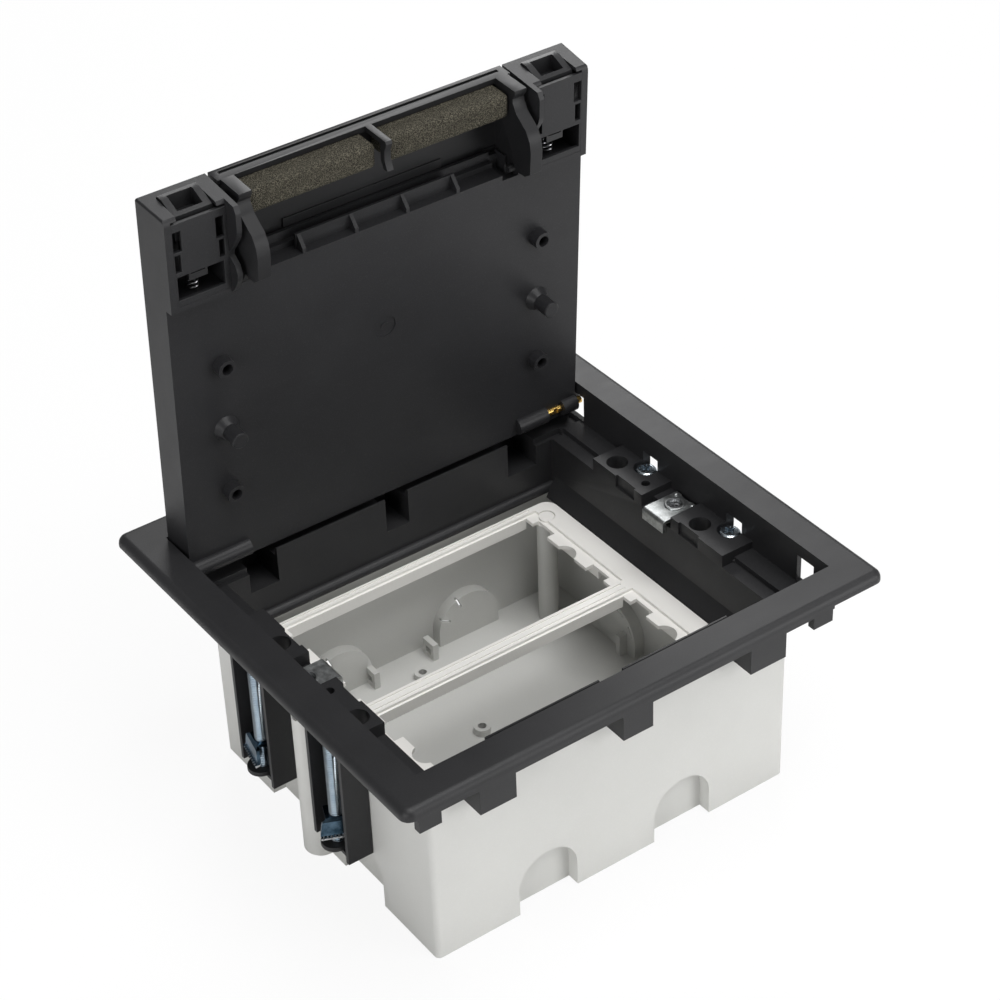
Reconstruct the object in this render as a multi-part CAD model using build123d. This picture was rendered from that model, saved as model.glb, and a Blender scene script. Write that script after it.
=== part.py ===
"""Floor socket box: black floor frame with a hinged cable lid, grey flush box and white module frame.

Frame: x runs along the front edge, y from the front towards the hinges, z up from the underside of the box.
Depths written as v are measured down from the flange's top face. The lid is drawn closed and then opened.
"""
import math
import os

from build123d import *

# overall sizes
TOTAL_H = 97.0
FLANGE_W, FLANGE_D, FLANGE_T, FLANGE_CORNER = 200.0, 184.0, 4.5, 4.0
FLANGE_TOP_ROUND, FLANGE_LOW_ROUND = 3.2, 1.0
OPEN_X, OPEN_FRONT, OPEN_BACK = 86.3, -78.0, 78.6
GAP = 0.3

# collar, ledge and shaft of the floor frame
COLLAR_WALL, COLLAR_BACK_Y, LIP_V = 2.0, 80.2, 3.2
LEDGE_V, LEDGE_T, BACK_LEDGE_V = 16.5, 2.0, 17.2
STEP_X, STEP_V, STEP_T = 78.0, 18.6, 1.8
SHAFT_X, SHAFT_Y, SHAFT_WALL, SHAFT_END_V = 72.3, 64.3, 1.3, 42.0
WALL_TOP_V, CORNER_TOP_V, CORNER_X = 13.4, 19.5, 61.0
BAR_R, BAR_V = 2.2, 40.5
POCKET_X, POCKET_HALF, POCKET_V, POCKET_OUT = (-56.5, 1.5, 58.6), (6.0, 5.0, 6.6), 28.0, 79.8
WINDOW_Y, WINDOW_V = (61.8, 73.4), (5.0, 16.0)
CORNER_TAB_X, CORNER_TAB_V = (78.9, 87.6), 23.5

# ledge blocks and claw towers, listed as side, claw screw y, tower hole y
BLOCK_TOP_V, BLOCK_Y = 13.4, (8.5, 37.8)
TOWERS = {"left_front": (-1, -21.0, -30.3), "left_back": (-1, 27.5, 18.3),
          "right_front": (1, -27.5, -18.3), "right_back": (1, 21.0, 30.3)}
CLAW_X, DRAIN_X, DRAIN_R, SMALL_HOLE_R = 84.3, 78.0, 4.1, 1.7
TOWER_OUT_X, TOWER_IN_X, TOWER_HALF, TOWER_WALL = 87.2, 77.2, 11.0, 1.6
SHANK_R, HEAD_R, HEAD_V, HEAD_H = 2.3, 4.3, 13.8, 2.4
RUN = 0.08
CLAW_V, CLAW_T, CLAW_HALF, TONGUE_X, TONGUE_DROP = 60.5, 1.5, 6.3, 89.4, 6.7
TOWER_END_V, TONGUE_V = CLAW_V + 14.2, CLAW_V + TONGUE_DROP
FOOT_R, FOOT_T, FOOT_X = 5.0, 2.0, 85.6

# brackets, their screws and the columns of the box
BRACKET_Y, BRACKET_HALF, BRACKET_X, BRACKET_T = -1.8, 6.0, (69.2, 85.6), 1.5
LIP_DROP, BRACKET_SCREW_X = 5.0, 79.6
SCREW_R, PAN_R, PAN_H, DIMPLE_R = 1.9, 3.7, 1.4, 0.8
COLUMN_X, COLUMN_R, COLUMN_TOP_V, COLUMN_END_V, NUT_R, NUT_H = 80.2, 6.4, 21.0, 93.2, 3.6, 6.0

# grey box
BOX_X, BOX_Y, BOX_WALL, BOX_TOP_V, BOX_CORNER = 76.9, 68.9, 1.9, 20.4, 2.0
FLOOR_Z, FLOOR_T = 4.8, 2.5
KNOCK_R, KNOCK_TOP, KNOCK_DEPTH, KNOCK_SHEET = 12.5, 23.2, 5.2, 1.3
KNOCK_FRONT_X, KNOCK_SIDE_Y, SLOT_W = 29.6, 24.0, 0.9
PILLAR_X, PILLAR_Y, PILLAR_R = 60.5, 52.0, 4.0
LOOPS_BACK, LOOP_SIDE_Y, LOOP_L, LOOP_H, LOOP_T = (10.0, -17.0), 16.5, 7.0, 7.5, 2.4
BOSS_Y, BOSS_R, BOSS_H, BOSS_HOLE = (12.4, 51.6), 3.2, 3.0, 1.6

# white module frame
PLATE_V, PLATE_T, PLATE_X, PLATE_Y, PLATE_CORNER = 43.0, 2.6, 67.6, 60.0, 5.0
BAY_X, BAY_IN_Y, BAY_OUT_Y, BAY_SKIRT, BAY_WALL, SKIRT_X, END_SKIRT = 57.0, 3.8, 56.4, 6.0, 1.4, 54.0, 15.0
GROOVE, GROOVE_V, TAB_IN, TAB_HALF, TAB_T, TAB_NOTCH_R = 2.0, 1.2, 3.6, 12.0, 1.5, 5.0
PLATE_SCREW_R, PLATE_HEAD_R = 1.7, 3.0

# lid, drawn closed
HINGE_Y, HINGE_V, OPEN_ANGLE = 71.4, 7.32, 86.6
LID_X, LID_FRONT, LID_BACK, LID_DRAFT, LID_DRAFT_DEPTH = 85.7, -77.4, 77.9, 0.06, 22.0
PANEL_V, PANEL_T, TRAY_X, TRAY_FRONT, TRAY_BACK = 13.1, 3.1, 82.4, -37.4, 71.0
NOSE_R, HEEL_R = 6.3, 2.5
STUD_R, STUD_L, EYE_WALL = 2.5, 2.0, 1.45
HOUSING_X, HOUSING_END, HOUSING_BACK, HOUSING_V, HOUSING_WALL = 59.6, 82.2, -40.4, 14.8, 2.2
HOUSING_ROUND = 3.5
COVER_T, COVER_SEAT, CHEEK_T = 1.4, 0.6, 2.0
OUTLET_Y, SIDE_SLOT_X, SIDE_SLOT_Y, RIM_BACK, RIM_V = -42.3, 50.5, -40.2, -39.8, 3.4
LIP_Y, LIP_T, STEP_Y, STEP_OUT_V = -47.8, 1.4, -44.4, 6.8
BOSS_X, PEG_Y, LID_BOSS_Y, LID_BOSS_R, LID_BOSS_H, PEG_R, PEG_L = 66.0, 16.0, (-11.0, 43.0), 3.5, 4.0, 3.3, 9.5
RAIL_X, RAIL_Y, RAIL_V, RIB_X = (-32.4, 32.4), -48.0, (8.4, 9.4), (-31.2, -10.2, 10.7, 31.7)
KNUCKLE_Y, KNUCKLE_V, KNUCKLE_R, PIN_R = 71.5, 13.1, 3.3, 1.5
KNUCKLE_RIGHT, KNUCKLE_LEFT, PIN_TIP_X, PIN_TAIL_X = ((57.4, 70.8), (78.0, 84.6)), ((-84.6, -60.7),), 87.4, 69.0
PIN_SPRING_X = 62.0

# latch buttons
BUTTON_X, BUTTON_HALF, BUTTON_V, BUTTON_TIP, BUTTON_END = 72.4, 7.2, (3.4, 13.6), -77.9, -66.0
BUTTON_SLOPE_V, BUTTON_LOW, MOUTH_END = 6.4, -75.2, -74.3
SHOULDER_HALF, SHOULDER_Y, SHOULDER_V = 8.6, (-74.9, -71.6), (4.0, 12.0)
STEM_HALF, STEM_V, STEM_END, CLIP_HALF = 3.6, (8.4, 13.9), -53.4, 3.5
SPRING_R, SPRING_WIRE, SPRING_END = 2.3, 0.8, -42.8
POCKET_D, POCKET_W, POCKET_WALL = 6.5, 4.7, 1.6

# cable flap
FLAP_X, FLAP_SKIN, FLAP_REAR, FLAP_TIP, END_WALL_V = 58.6, 2.2, -46.5, -77.4, 6.2
ARM_X, WEB_X, FLAP_PIVOT_Y, FLAP_PIVOT_V, FLAP_STUD_R = (52.4, 57.4), 55.0, -44.5, 13.4, 1.3
MID_RIB_X = (-1.3, 1.3)
FOAM_Y, FOAM_V = (-65.9, -75.3), (2.2, 14.8)
PLATE_BAR = (-33.0, 31.5, -51.0, -47.6, 0.7)


def zv(v):
    """Height of a depth v under the flange's top face."""
    return TOTAL_H - v


def block(x0, x1, y0, y1, v0, v1):
    """Box between two x, two y and two depths."""
    size = (abs(x1 - x0), abs(y1 - y0), abs(v1 - v0))
    return Pos((x0 + x1) / 2, (y0 + y1) / 2, zv((v0 + v1) / 2)) * Box(*size)


def post(x, y, v0, v1, r):
    """Upright cylinder between two depths."""
    return Pos(x, y, zv((v0 + v1) / 2)) * Cylinder(r, abs(v1 - v0))


def rod_x(x0, x1, y, v, r):
    """Cylinder along x."""
    return Pos((x0 + x1) / 2, y, zv(v)) * Rot(0, 90, 0) * Cylinder(r, abs(x1 - x0))


def rod_y(y0, y1, x, v, r):
    """Cylinder along y."""
    return Pos(x, (y0 + y1) / 2, zv(v)) * Rot(90, 0, 0) * Cylinder(r, abs(y1 - y0))


def profile_x(points, x0, x1):
    """Outline of (y, depth) points drawn out along x."""
    face = Plane.YZ.offset(min(x0, x1)) * Polygon(*[(y, zv(v)) for y, v in points], align=None)
    return extrude(face, abs(x1 - x0), dir=(1, 0, 0))


def profile_y(points, y0, y1):
    """Outline of (x, depth) points drawn out along y."""
    face = Plane.XZ.offset(-max(y0, y1)) * Polygon(*[(x, zv(v)) for x, v in points], align=None)
    return extrude(face, abs(y1 - y0), dir=(0, -1, 0))


def rounded_plate(half_x, half_y, v0, v1, corner):
    """Flat plate with round corners, centred on the opening."""
    face = Plane.XY.offset(zv(max(v0, v1))) * RectangleRounded(2 * half_x, 2 * half_y, corner)
    return extrude(face, abs(v1 - v0))


# floor frame

def flange():
    """Rounded cover rim that lies on the floor."""
    plate = rounded_plate(FLANGE_W / 2, FLANGE_D / 2, 0, FLANGE_T, FLANGE_CORNER)
    plate = fillet(plate.faces().sort_by(Axis.Z)[-1].edges(), FLANGE_TOP_ROUND)
    return chamfer(plate.faces().sort_by(Axis.Z)[0].edges(), FLANGE_LOW_ROUND / 2)


def collar():
    """Upright wall under the rim with the stepped ledge that the lid closes onto."""
    out_x, out_back = OPEN_X + COLLAR_WALL, COLLAR_BACK_Y + 1.6
    wall = block(-out_x, out_x, -80.0, out_back, FLANGE_T - 1, LEDGE_V + LEDGE_T)
    deep = SHAFT_Y + SHAFT_WALL + 1.0
    step = block(-STEP_X - STEP_T, STEP_X + STEP_T, -deep, deep, LEDGE_V, STEP_V + STEP_T)
    return wall + step


def collar_hollow():
    """Everything that is open inside the rim, the collar and the ledge step."""
    mouth = block(-OPEN_X, OPEN_X, OPEN_FRONT, OPEN_BACK, -1, LEDGE_V)
    back = block(-OPEN_X, OPEN_X, 0, COLLAR_BACK_Y, LIP_V, LEDGE_V)
    back += block(-OPEN_X, OPEN_X, SHAFT_Y, COLLAR_BACK_Y, LIP_V, BACK_LEDGE_V)
    steps = block(-STEP_X, STEP_X, -SHAFT_Y, SHAFT_Y, LEDGE_V, STEP_V)
    hole = block(-SHAFT_X, SHAFT_X, -SHAFT_Y, SHAFT_Y, LEDGE_V, STEP_V + STEP_T + 1)
    return mouth + back + steps + hole


def shaft():
    """Deep inner wall, notched along its top, with a half-round bar along the foot of two sides."""
    out_x, out_y = SHAFT_X + SHAFT_WALL, SHAFT_Y + SHAFT_WALL
    tube = block(-out_x, out_x, -out_y, out_y, STEP_V, SHAFT_END_V)
    tube -= block(-SHAFT_X, SHAFT_X, -SHAFT_Y, SHAFT_Y, 0, SHAFT_END_V + 1)
    for side in (-1, 1):
        edge = [(side * SHAFT_Y, WALL_TOP_V), (side * (SHAFT_Y + 0.7), WALL_TOP_V),
                (side * out_y, WALL_TOP_V + 0.9), (side * out_y, STEP_V + 1), (side * SHAFT_Y, STEP_V + 1)]
        tube += profile_x(edge, -CORNER_X, CORNER_X)
        tube += rod_x(-SHAFT_X, SHAFT_X, side * (SHAFT_Y - 0.2), BAR_V, BAR_R)
    return tube


def ledge_blocks():
    """Four raised blocks over the claw towers that the closed lid lands on."""
    blocks = None
    for side in (-1, 1):
        for end in (-1, 1):
            y0, y1 = end * BLOCK_Y[0], end * BLOCK_Y[1]
            solid = block(side * SHAFT_X, side * (OPEN_X + 1), y0, y1, BLOCK_TOP_V, STEP_V + STEP_T)
            solid -= block(side * (SHAFT_X - 1), side * (SHAFT_X + 0.9), y0 + end * 4.5, y0 + end * 15.5,
                           BLOCK_TOP_V - 1, STEP_V + STEP_T + 1)
            blocks = solid if blocks is None else blocks + solid
    return blocks


def tower(side, y):
    """Claw tower: a channel open to the outside with a floor at its foot."""
    shell = block(side * TOWER_OUT_X, side * TOWER_IN_X, y - TOWER_HALF, y + TOWER_HALF, LEDGE_V + 1, TOWER_END_V)
    inner = TOWER_HALF - TOWER_WALL
    shell -= block(side * (TOWER_OUT_X + 1), side * (TOWER_IN_X + TOWER_WALL), y - inner, y + inner,
                   LEDGE_V + LEDGE_T, TOWER_END_V - 1.5)
    shell -= block(side * (TOWER_OUT_X + 1), side * (TOWER_OUT_X - 1.6), y - inner, y + inner,
                   LEDGE_V + LEDGE_T + 2, TOWER_END_V + 1)
    return shell


def pockets():
    """Solid and hollow of the pockets that take the flap's arms and the latch cheeks, front and back."""
    solid, hollow = None, None
    for side in (-1, 1):
        for x, half in zip(POCKET_X, POCKET_HALF):
            outer = POCKET_OUT if side < 0 else COLLAR_BACK_Y + 1.6
            body = block(x - half - 1.3, x + half + 1.3, side * (SHAFT_Y + 0.2), side * outer, LEDGE_V, POCKET_V + 1.3)
            well_out = OPEN_FRONT if side < 0 else -COLLAR_BACK_Y
            well = block(x - half, x + half, side * (SHAFT_Y - 1), side * abs(well_out), WALL_TOP_V - 1, POCKET_V)
            solid = body if solid is None else solid + body
            hollow = well if hollow is None else hollow + well
    return solid, hollow


def pin_window(side):
    """Window in the collar's side wall that the hinge pin's tip travels in, around the pivot's eye."""
    y0, y1 = WINDOW_Y
    window = block(side * (OPEN_X - 1), side * (OPEN_X + COLLAR_WALL + 1), y0, y1, *WINDOW_V)
    return window - rod_x(side * (OPEN_X - 2), side * (OPEN_X + COLLAR_WALL + 2), HINGE_Y, HINGE_V, STUD_R + EYE_WALL)


def floor_frame():
    """Black floor frame in one moulding."""
    pocket_solid, pocket_hollow = pockets()
    frame = flange() + collar() + pocket_solid - collar_hollow() + shaft() + ledge_blocks()
    for side in (-1, 1):
        corner = block(side * CORNER_TAB_X[0], side * CORNER_TAB_X[1], -80.0, -77.0, LEDGE_V, CORNER_TAB_V)
        frame += corner
        frame -= pin_window(side)
        frame -= block(side * (OPEN_X - 1), side * (OPEN_X + COLLAR_WALL + 1), -WINDOW_Y[0], -WINDOW_Y[1] + 3, *WINDOW_V)
        frame -= rod_x(side * (OPEN_X - 1), side * (OPEN_X + COLLAR_WALL + 1), HINGE_Y, HINGE_V, STUD_R + RUN)
    for side, y, _ in TOWERS.values():
        frame += tower(side, y)
    frame -= pocket_hollow
    for end in (-1, 1):
        for side in (-1, 1):
            frame -= block(side * CORNER_X, side * (SHAFT_X + 5), end * (SHAFT_Y - 1), end * (SHAFT_Y + SHAFT_WALL + 0.2),
                           WALL_TOP_V - 1, CORNER_TOP_V)
    for side, y, drain_y in TOWERS.values():
        frame -= post(side * CLAW_X, y, 9.0, HEAD_V + HEAD_H, HEAD_R + 0.4)
        frame -= post(side * CLAW_X, y, 9.0, LEDGE_V + LEDGE_T + 4, SHANK_R + RUN)
        frame -= post(side * DRAIN_X, drain_y, BLOCK_TOP_V - 1, STEP_V + STEP_T + 1, DRAIN_R)
    for side in (-1, 1):
        frame -= post(side * DRAIN_X, side * 13.3, BLOCK_TOP_V - 1, STEP_V + STEP_T + 1, SMALL_HOLE_R)
        frame -= post(side * BRACKET_SCREW_X, BRACKET_Y, BLOCK_TOP_V, STEP_V + STEP_T + 1, SCREW_R + RUN)
    return frame


def screw_feet():
    """Round feet on the tower floors that carry the tips of the claw screws."""
    feet = []
    for side, y, _ in TOWERS.values():
        top = TOWER_END_V - 1.5 - FOOT_T
        disc = post(side * FOOT_X, y, top, TOWER_END_V - 1.5, FOOT_R)
        feet.append(disc - post(side * CLAW_X, y, top - 1, TOWER_END_V - 1.5 - 0.6, SHANK_R + RUN))
    return feet


def claw_screw(side, y):
    """Long claw screw with a pan head."""
    head = post(side * CLAW_X, y, HEAD_V, HEAD_V + HEAD_H, HEAD_R)
    head = chamfer(head.edges().group_by(Axis.Z)[-1], 0.9)
    shank = post(side * CLAW_X, y, HEAD_V + HEAD_H, TOWER_END_V - 1.5 - 0.8, SHANK_R)
    return head + shank


def claw(side, y):
    """Bent sheet claw: a nut plate with a pressed collar and a toothed tongue that slopes outwards."""
    inner, bend = TOWER_IN_X + TOWER_WALL + 0.5, TOWER_OUT_X - 0.7
    plate = block(side * inner, side * bend, y - CLAW_HALF, y + CLAW_HALF, CLAW_V, CLAW_V + CLAW_T)
    tongue = profile_y([(side * (bend - 1.6), CLAW_V), (side * bend, CLAW_V), (side * TONGUE_X, TONGUE_V - 1.0),
                        (side * (TONGUE_X - 1.2), TONGUE_V), (side * (bend - 1.6), CLAW_V + 2.4)],
                       y - CLAW_HALF, y + CLAW_HALF)
    collar_ring = post(side * CLAW_X, y, CLAW_V + CLAW_T, CLAW_V + CLAW_T + 4.0, SHANK_R + 1.6)
    return plate + tongue + collar_ring - post(side * CLAW_X, y, CLAW_V - 1, CLAW_V + 9, SHANK_R + RUN)


# brackets and their screws

def bracket(side):
    """Bent zinc plate that ties the frame down to the box column."""
    x0, x1 = BRACKET_X
    y0, y1 = BRACKET_Y - BRACKET_HALF, BRACKET_Y + BRACKET_HALF
    top = LEDGE_V - BRACKET_T
    plate = block(side * x0, side * x1, y0, y1, top, LEDGE_V)
    lip = block(side * x0, side * (x0 + BRACKET_T), y0, y1, top, top + LIP_DROP)
    sheet = fillet((plate + lip).edges().filter_by(Axis.Y).filter_by_position(Axis.X, side * x0 - 0.01, side * x0 + 0.01)
                   .sort_by(Axis.Z)[-1], 1.4)
    return sheet - post(side * BRACKET_SCREW_X, BRACKET_Y, top - 1, LEDGE_V + 1, SCREW_R + RUN)


def bracket_screw(side):
    """Short pan head screw through the bracket into the column nut."""
    top = LEDGE_V - BRACKET_T
    head = chamfer(post(side * BRACKET_SCREW_X, BRACKET_Y, top - PAN_H, top, PAN_R).edges().group_by(Axis.Z)[-1], 0.6)
    return head + post(side * BRACKET_SCREW_X, BRACKET_Y, top, COLUMN_TOP_V + NUT_H, SCREW_R)


def column_nut(side):
    """Round threaded nut let into the top of the column."""
    ring = post(side * BRACKET_SCREW_X, BRACKET_Y, COLUMN_TOP_V, COLUMN_TOP_V + NUT_H, NUT_R)
    return ring - post(side * BRACKET_SCREW_X, BRACKET_Y, COLUMN_TOP_V - 1, COLUMN_TOP_V + NUT_H + 1, SCREW_R)


# grey box

def tombstone(radius, top, depth, centre, side, along_x):
    """Arched knock-out outline, open at the foot, reaching in from an outer wall."""
    arch = Pos(0, top - radius) * Circle(radius) + Pos(0, (top - radius) / 2 - 1) * Rectangle(2 * radius, top - radius + 2)
    if along_x:
        plane = Plane(origin=(centre, side * (BOX_Y + 0.01), 0), x_dir=(1, 0, 0), z_dir=(0, -1, 0))
    else:
        plane = Plane(origin=(side * (BOX_X + 0.01), centre, 0), x_dir=(0, 1, 0), z_dir=(1, 0, 0))
    inward = -side if not along_x else side
    return extrude(plane * arch, inward * depth)


def knock_slots(centre, side, along_x):
    """Thin slots that let the knock-out sheet break away, in a row around one half of its arch."""
    sheet_in = KNOCK_DEPTH + KNOCK_SHEET
    cuts = []
    radius = KNOCK_R - SLOT_W / 2
    for start in (100, 142):
        angle = math.radians(start + 11)
        u, z = radius * math.cos(angle), KNOCK_TOP - KNOCK_R + radius * math.sin(angle)
        if along_x:
            spot = Pos(centre + u, side * (BOX_Y - sheet_in), z) * Rot(0, 90 - start - 11, 0)
            cuts.append(spot * Box(SLOT_W, 4, 5.0))
        else:
            spot = Pos(side * (BOX_X - sheet_in), centre + u, z) * Rot(start + 11 - 90, 0, 0)
            cuts.append(spot * Box(4, 5.0, SLOT_W))
    return cuts


def knock_outs():
    """Inner pods and outer recesses of the eight knock-outs, two to a side."""
    pods, recesses = [], []
    for side in (-1, 1):
        for centre in (-KNOCK_FRONT_X, KNOCK_FRONT_X):
            pods.append(tombstone(KNOCK_R + 1.4, KNOCK_TOP + 1.4, KNOCK_DEPTH + KNOCK_SHEET, centre, side, True))
            recesses.append(tombstone(KNOCK_R, KNOCK_TOP, KNOCK_DEPTH, centre, side, True))
        for centre in (-KNOCK_SIDE_Y, KNOCK_SIDE_Y):
            pods.append(tombstone(KNOCK_R + 1.4, KNOCK_TOP + 1.4, KNOCK_DEPTH + KNOCK_SHEET, centre, side, False))
            recesses.append(tombstone(KNOCK_R, KNOCK_TOP, KNOCK_DEPTH, centre, side, False))
    return pods, recesses


def cable_loops():
    """Small upright loops with a square eye beside the knock-outs."""
    loops, eyes = [], []
    back_y = BOX_Y - BOX_WALL
    for side in (-1, 1):
        for x in LOOPS_BACK:
            centre = x * side
            loops.append(Pos(centre, side * (back_y - LOOP_L / 2 - 3), FLOOR_Z + LOOP_H / 2)
                         * Box(LOOP_T, LOOP_L, LOOP_H))
            eyes.append(Pos(centre, side * (back_y - LOOP_L / 2 - 3), FLOOR_Z + 3.4) * Box(LOOP_T + 1, 3.4, 3.0))
        loops.append(Pos(side * (BOX_X - 5.5), side * LOOP_SIDE_Y, FLOOR_Z + LOOP_H / 2 + 1)
                     * Box(LOOP_L + 2, LOOP_T, LOOP_H + 2))
    return loops, eyes


def box_shell():
    """Light grey flush box with skirt, knock-outs, corner pillars and fixing columns."""
    outer = extrude(RectangleRounded(2 * BOX_X, 2 * BOX_Y, BOX_CORNER), zv(BOX_TOP_V))
    inside = extrude(RectangleRounded(2 * (BOX_X - BOX_WALL), 2 * (BOX_Y - BOX_WALL), 1.0), zv(BOX_TOP_V) + 1)
    floor = extrude(Plane.XY.offset(FLOOR_Z - FLOOR_T) * RectangleRounded(2 * BOX_X - 1, 2 * BOX_Y - 1, 1.0), FLOOR_T)
    shell = outer - inside + floor
    pods, recesses = knock_outs()
    for side in (-1, 1):
        post_out = post(side * COLUMN_X, BRACKET_Y, COLUMN_TOP_V, COLUMN_END_V, COLUMN_R)
        post_out = chamfer(post_out.edges().group_by(Axis.Z)[0], 2.0)
        shell += post_out - block(-BOX_X + 1, BOX_X - 1, -20, 20, 0, TOTAL_H)
        window = block(side * (BRACKET_SCREW_X + 2.4), side * (COLUMN_X + COLUMN_R + 1), BRACKET_Y - 2.8, BRACKET_Y + 2.8,
                       COLUMN_TOP_V - 1, COLUMN_TOP_V + NUT_H)
        shell -= window
    for pod in pods:
        shell += pod & extrude(RectangleRounded(2 * BOX_X, 2 * BOX_Y, BOX_CORNER), KNOCK_TOP + 5)
    for x in (-PILLAR_X, PILLAR_X):
        for y in (-PILLAR_Y, PILLAR_Y):
            shell += post(x, y, PLATE_V + PLATE_T, TOTAL_H - FLOOR_Z + 0.5, PILLAR_R)
    loops, eyes = cable_loops()
    for loop in loops:
        shell += loop
    for y in (-BOSS_Y[1], -BOSS_Y[0], BOSS_Y[0], BOSS_Y[1]):
        shell += Pos(0, y, FLOOR_Z + BOSS_H / 2) * Cylinder(BOSS_R, BOSS_H)
    return box_cuts(shell, recesses, eyes)


def box_cuts(shell, recesses, eyes):
    """Cut the knock-out recesses, slots, loop eyes, screw holes and the notches for the frame's pockets."""
    for cut in recesses + eyes:
        shell -= cut
    for side in (-1, 1):
        for centre in (-KNOCK_FRONT_X, KNOCK_FRONT_X):
            for cut in knock_slots(centre, side, True):
                shell -= cut
        for centre in (-KNOCK_SIDE_Y, KNOCK_SIDE_Y):
            for cut in knock_slots(centre, side, False):
                shell -= cut
        for x, half in zip(POCKET_X, POCKET_HALF):
            shell -= block(x - half - 1.6, x + half + 1.6, side * (SHAFT_Y + 2), side * (BOX_Y + 1), BOX_TOP_V - 1,
                           POCKET_V + 1.6)
        shell -= post(side * BRACKET_SCREW_X, BRACKET_Y, COLUMN_TOP_V - 1, COLUMN_TOP_V + NUT_H, NUT_R)
        shell -= post(side * BRACKET_SCREW_X, BRACKET_Y, COLUMN_TOP_V, COLUMN_TOP_V + NUT_H + 8, SCREW_R + 0.4)
    for x in (-PILLAR_X, PILLAR_X):
        for y in (-PILLAR_Y, PILLAR_Y):
            shell -= post(x, y, PLATE_V, PLATE_V + 12, PLATE_SCREW_R)
    for y in (-BOSS_Y[1], -BOSS_Y[0], BOSS_Y[0], BOSS_Y[1]):
        shell -= Pos(0, y, FLOOR_Z) * Cylinder(BOSS_HOLE, 12)
    return shell


# white module frame

def clip_tabs(y0, y1):
    """Clip tabs with a half-round bite at both ends of one bay."""
    middle, tabs = (y0 + y1) / 2, None
    for side in (-1, 1):
        tab = block(side * (BAY_X + 0.5), side * (BAY_X - TAB_IN), middle - TAB_HALF, middle + TAB_HALF,
                    PLATE_V + 1.0, PLATE_V + 1.0 + TAB_T)
        tab -= post(side * (BAY_X - TAB_IN - 1.5), middle, PLATE_V, PLATE_V + 5, TAB_NOTCH_R)
        for y in (y0 + 2.0, y1 - 2.0):
            tab += block(side * (BAY_X + 0.5), side * (BAY_X - TAB_IN + 0.6), y - 2.2, y + 2.2, PLATE_V + 1.0,
                         PLATE_V + 1.0 + TAB_T)
        tabs = tab if tabs is None else tabs + tab
    return tabs


def module_frame():
    """White plate with two bays, grooved rims and skirts along the long edges."""
    plate = rounded_plate(PLATE_X, PLATE_Y, PLATE_V, PLATE_V + PLATE_T, PLATE_CORNER)
    for end in (-1, 1):
        y0, y1 = sorted((end * BAY_IN_Y, end * BAY_OUT_Y))
        plate += block(-SKIRT_X, SKIRT_X, y0 - BAY_WALL, y1 + BAY_WALL, PLATE_V + 1, PLATE_V + BAY_SKIRT)
        plate += block(-BAY_X - BAY_WALL, BAY_X + BAY_WALL, (y0 + y1) / 2 - END_SKIRT, (y0 + y1) / 2 + END_SKIRT,
                       PLATE_V + 1, PLATE_V + BAY_SKIRT)
    for end in (-1, 1):
        y0, y1 = sorted((end * BAY_IN_Y, end * BAY_OUT_Y))
        plate -= block(-BAY_X, BAY_X, y0, y1, PLATE_V - 1, PLATE_V + BAY_SKIRT + 1)
        plate -= block(-BAY_X - GROOVE, BAY_X + GROOVE, y0 - 0.9, y1 + 0.9, PLATE_V - 1, PLATE_V + GROOVE_V)
        for y in (y0 - 2.4, y1 + 2.4):
            groove = block(-BAY_X, BAY_X, y - 0.35, y + 0.35, PLATE_V - 1, PLATE_V + 0.5)
            plate -= groove
        plate += clip_tabs(y0, y1)
    for x in (-PILLAR_X, PILLAR_X):
        for y in (-PILLAR_Y, PILLAR_Y):
            plate -= post(x, y, PLATE_V - 1, PLATE_V + 1.2, PLATE_HEAD_R + 0.3)
            plate -= post(x, y, PLATE_V, PLATE_V + 9, PLATE_SCREW_R)
    return plate


def module_screws():
    """Four small screws that hold the module frame on the pillars."""
    screws = []
    for x in (-PILLAR_X, PILLAR_X):
        for y in (-PILLAR_Y, PILLAR_Y):
            head = post(x, y, PLATE_V + 0.2, PLATE_V + 1.2, PLATE_HEAD_R)
            screws.append(head + post(x, y, PLATE_V + 1.2, PLATE_V + 11, PLATE_SCREW_R))
    return screws


# lid, closed

def lid_envelope():
    """Drafted outer volume that trims the whole lid."""
    mid_y, half_y, shrink = (LID_FRONT + LID_BACK) / 2, (LID_BACK - LID_FRONT) / 2, LID_DRAFT_DEPTH * LID_DRAFT
    top = Plane.XY.offset(zv(0)) * Pos(0, mid_y) * RectangleRounded(2 * LID_X, 2 * half_y, 0.8)
    low = Plane.XY.offset(zv(LID_DRAFT_DEPTH)) * Pos(0, mid_y)
    return loft([low * RectangleRounded(2 * (LID_X - shrink), 2 * (half_y - shrink), 0.8), top])


def lid_tray():
    """Panel with its side walls, hollow from outside to take the floor covering."""
    heel = [(LID_BACK, 0), (LID_BACK, PANEL_V - HEEL_R), (LID_BACK - HEEL_R, PANEL_V), (OUTLET_Y, PANEL_V), (OUTLET_Y, 0)]
    slab = profile_x(heel, -LID_X, LID_X)
    nose_edge = slab.edges().filter_by(Axis.X).sort_by(lambda e: e.center().Y + e.center().Z)[-1]
    slab = fillet(nose_edge, NOSE_R)
    tray = block(-TRAY_X, TRAY_X, TRAY_FRONT, TRAY_BACK, -1, PANEL_V - PANEL_T)
    slab += block(-SIDE_SLOT_X, SIDE_SLOT_X, STEP_Y, OUTLET_Y + 1, RIM_V, STEP_OUT_V)
    slab += block(-SIDE_SLOT_X, SIDE_SLOT_X, LIP_Y, OUTLET_Y + 1, RIM_V, RIM_V + LIP_T)
    rim = block(-HOUSING_X, HOUSING_X, LIP_Y - 1, RIM_BACK, -1, RIM_V)
    return slab - tray - rim


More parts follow.
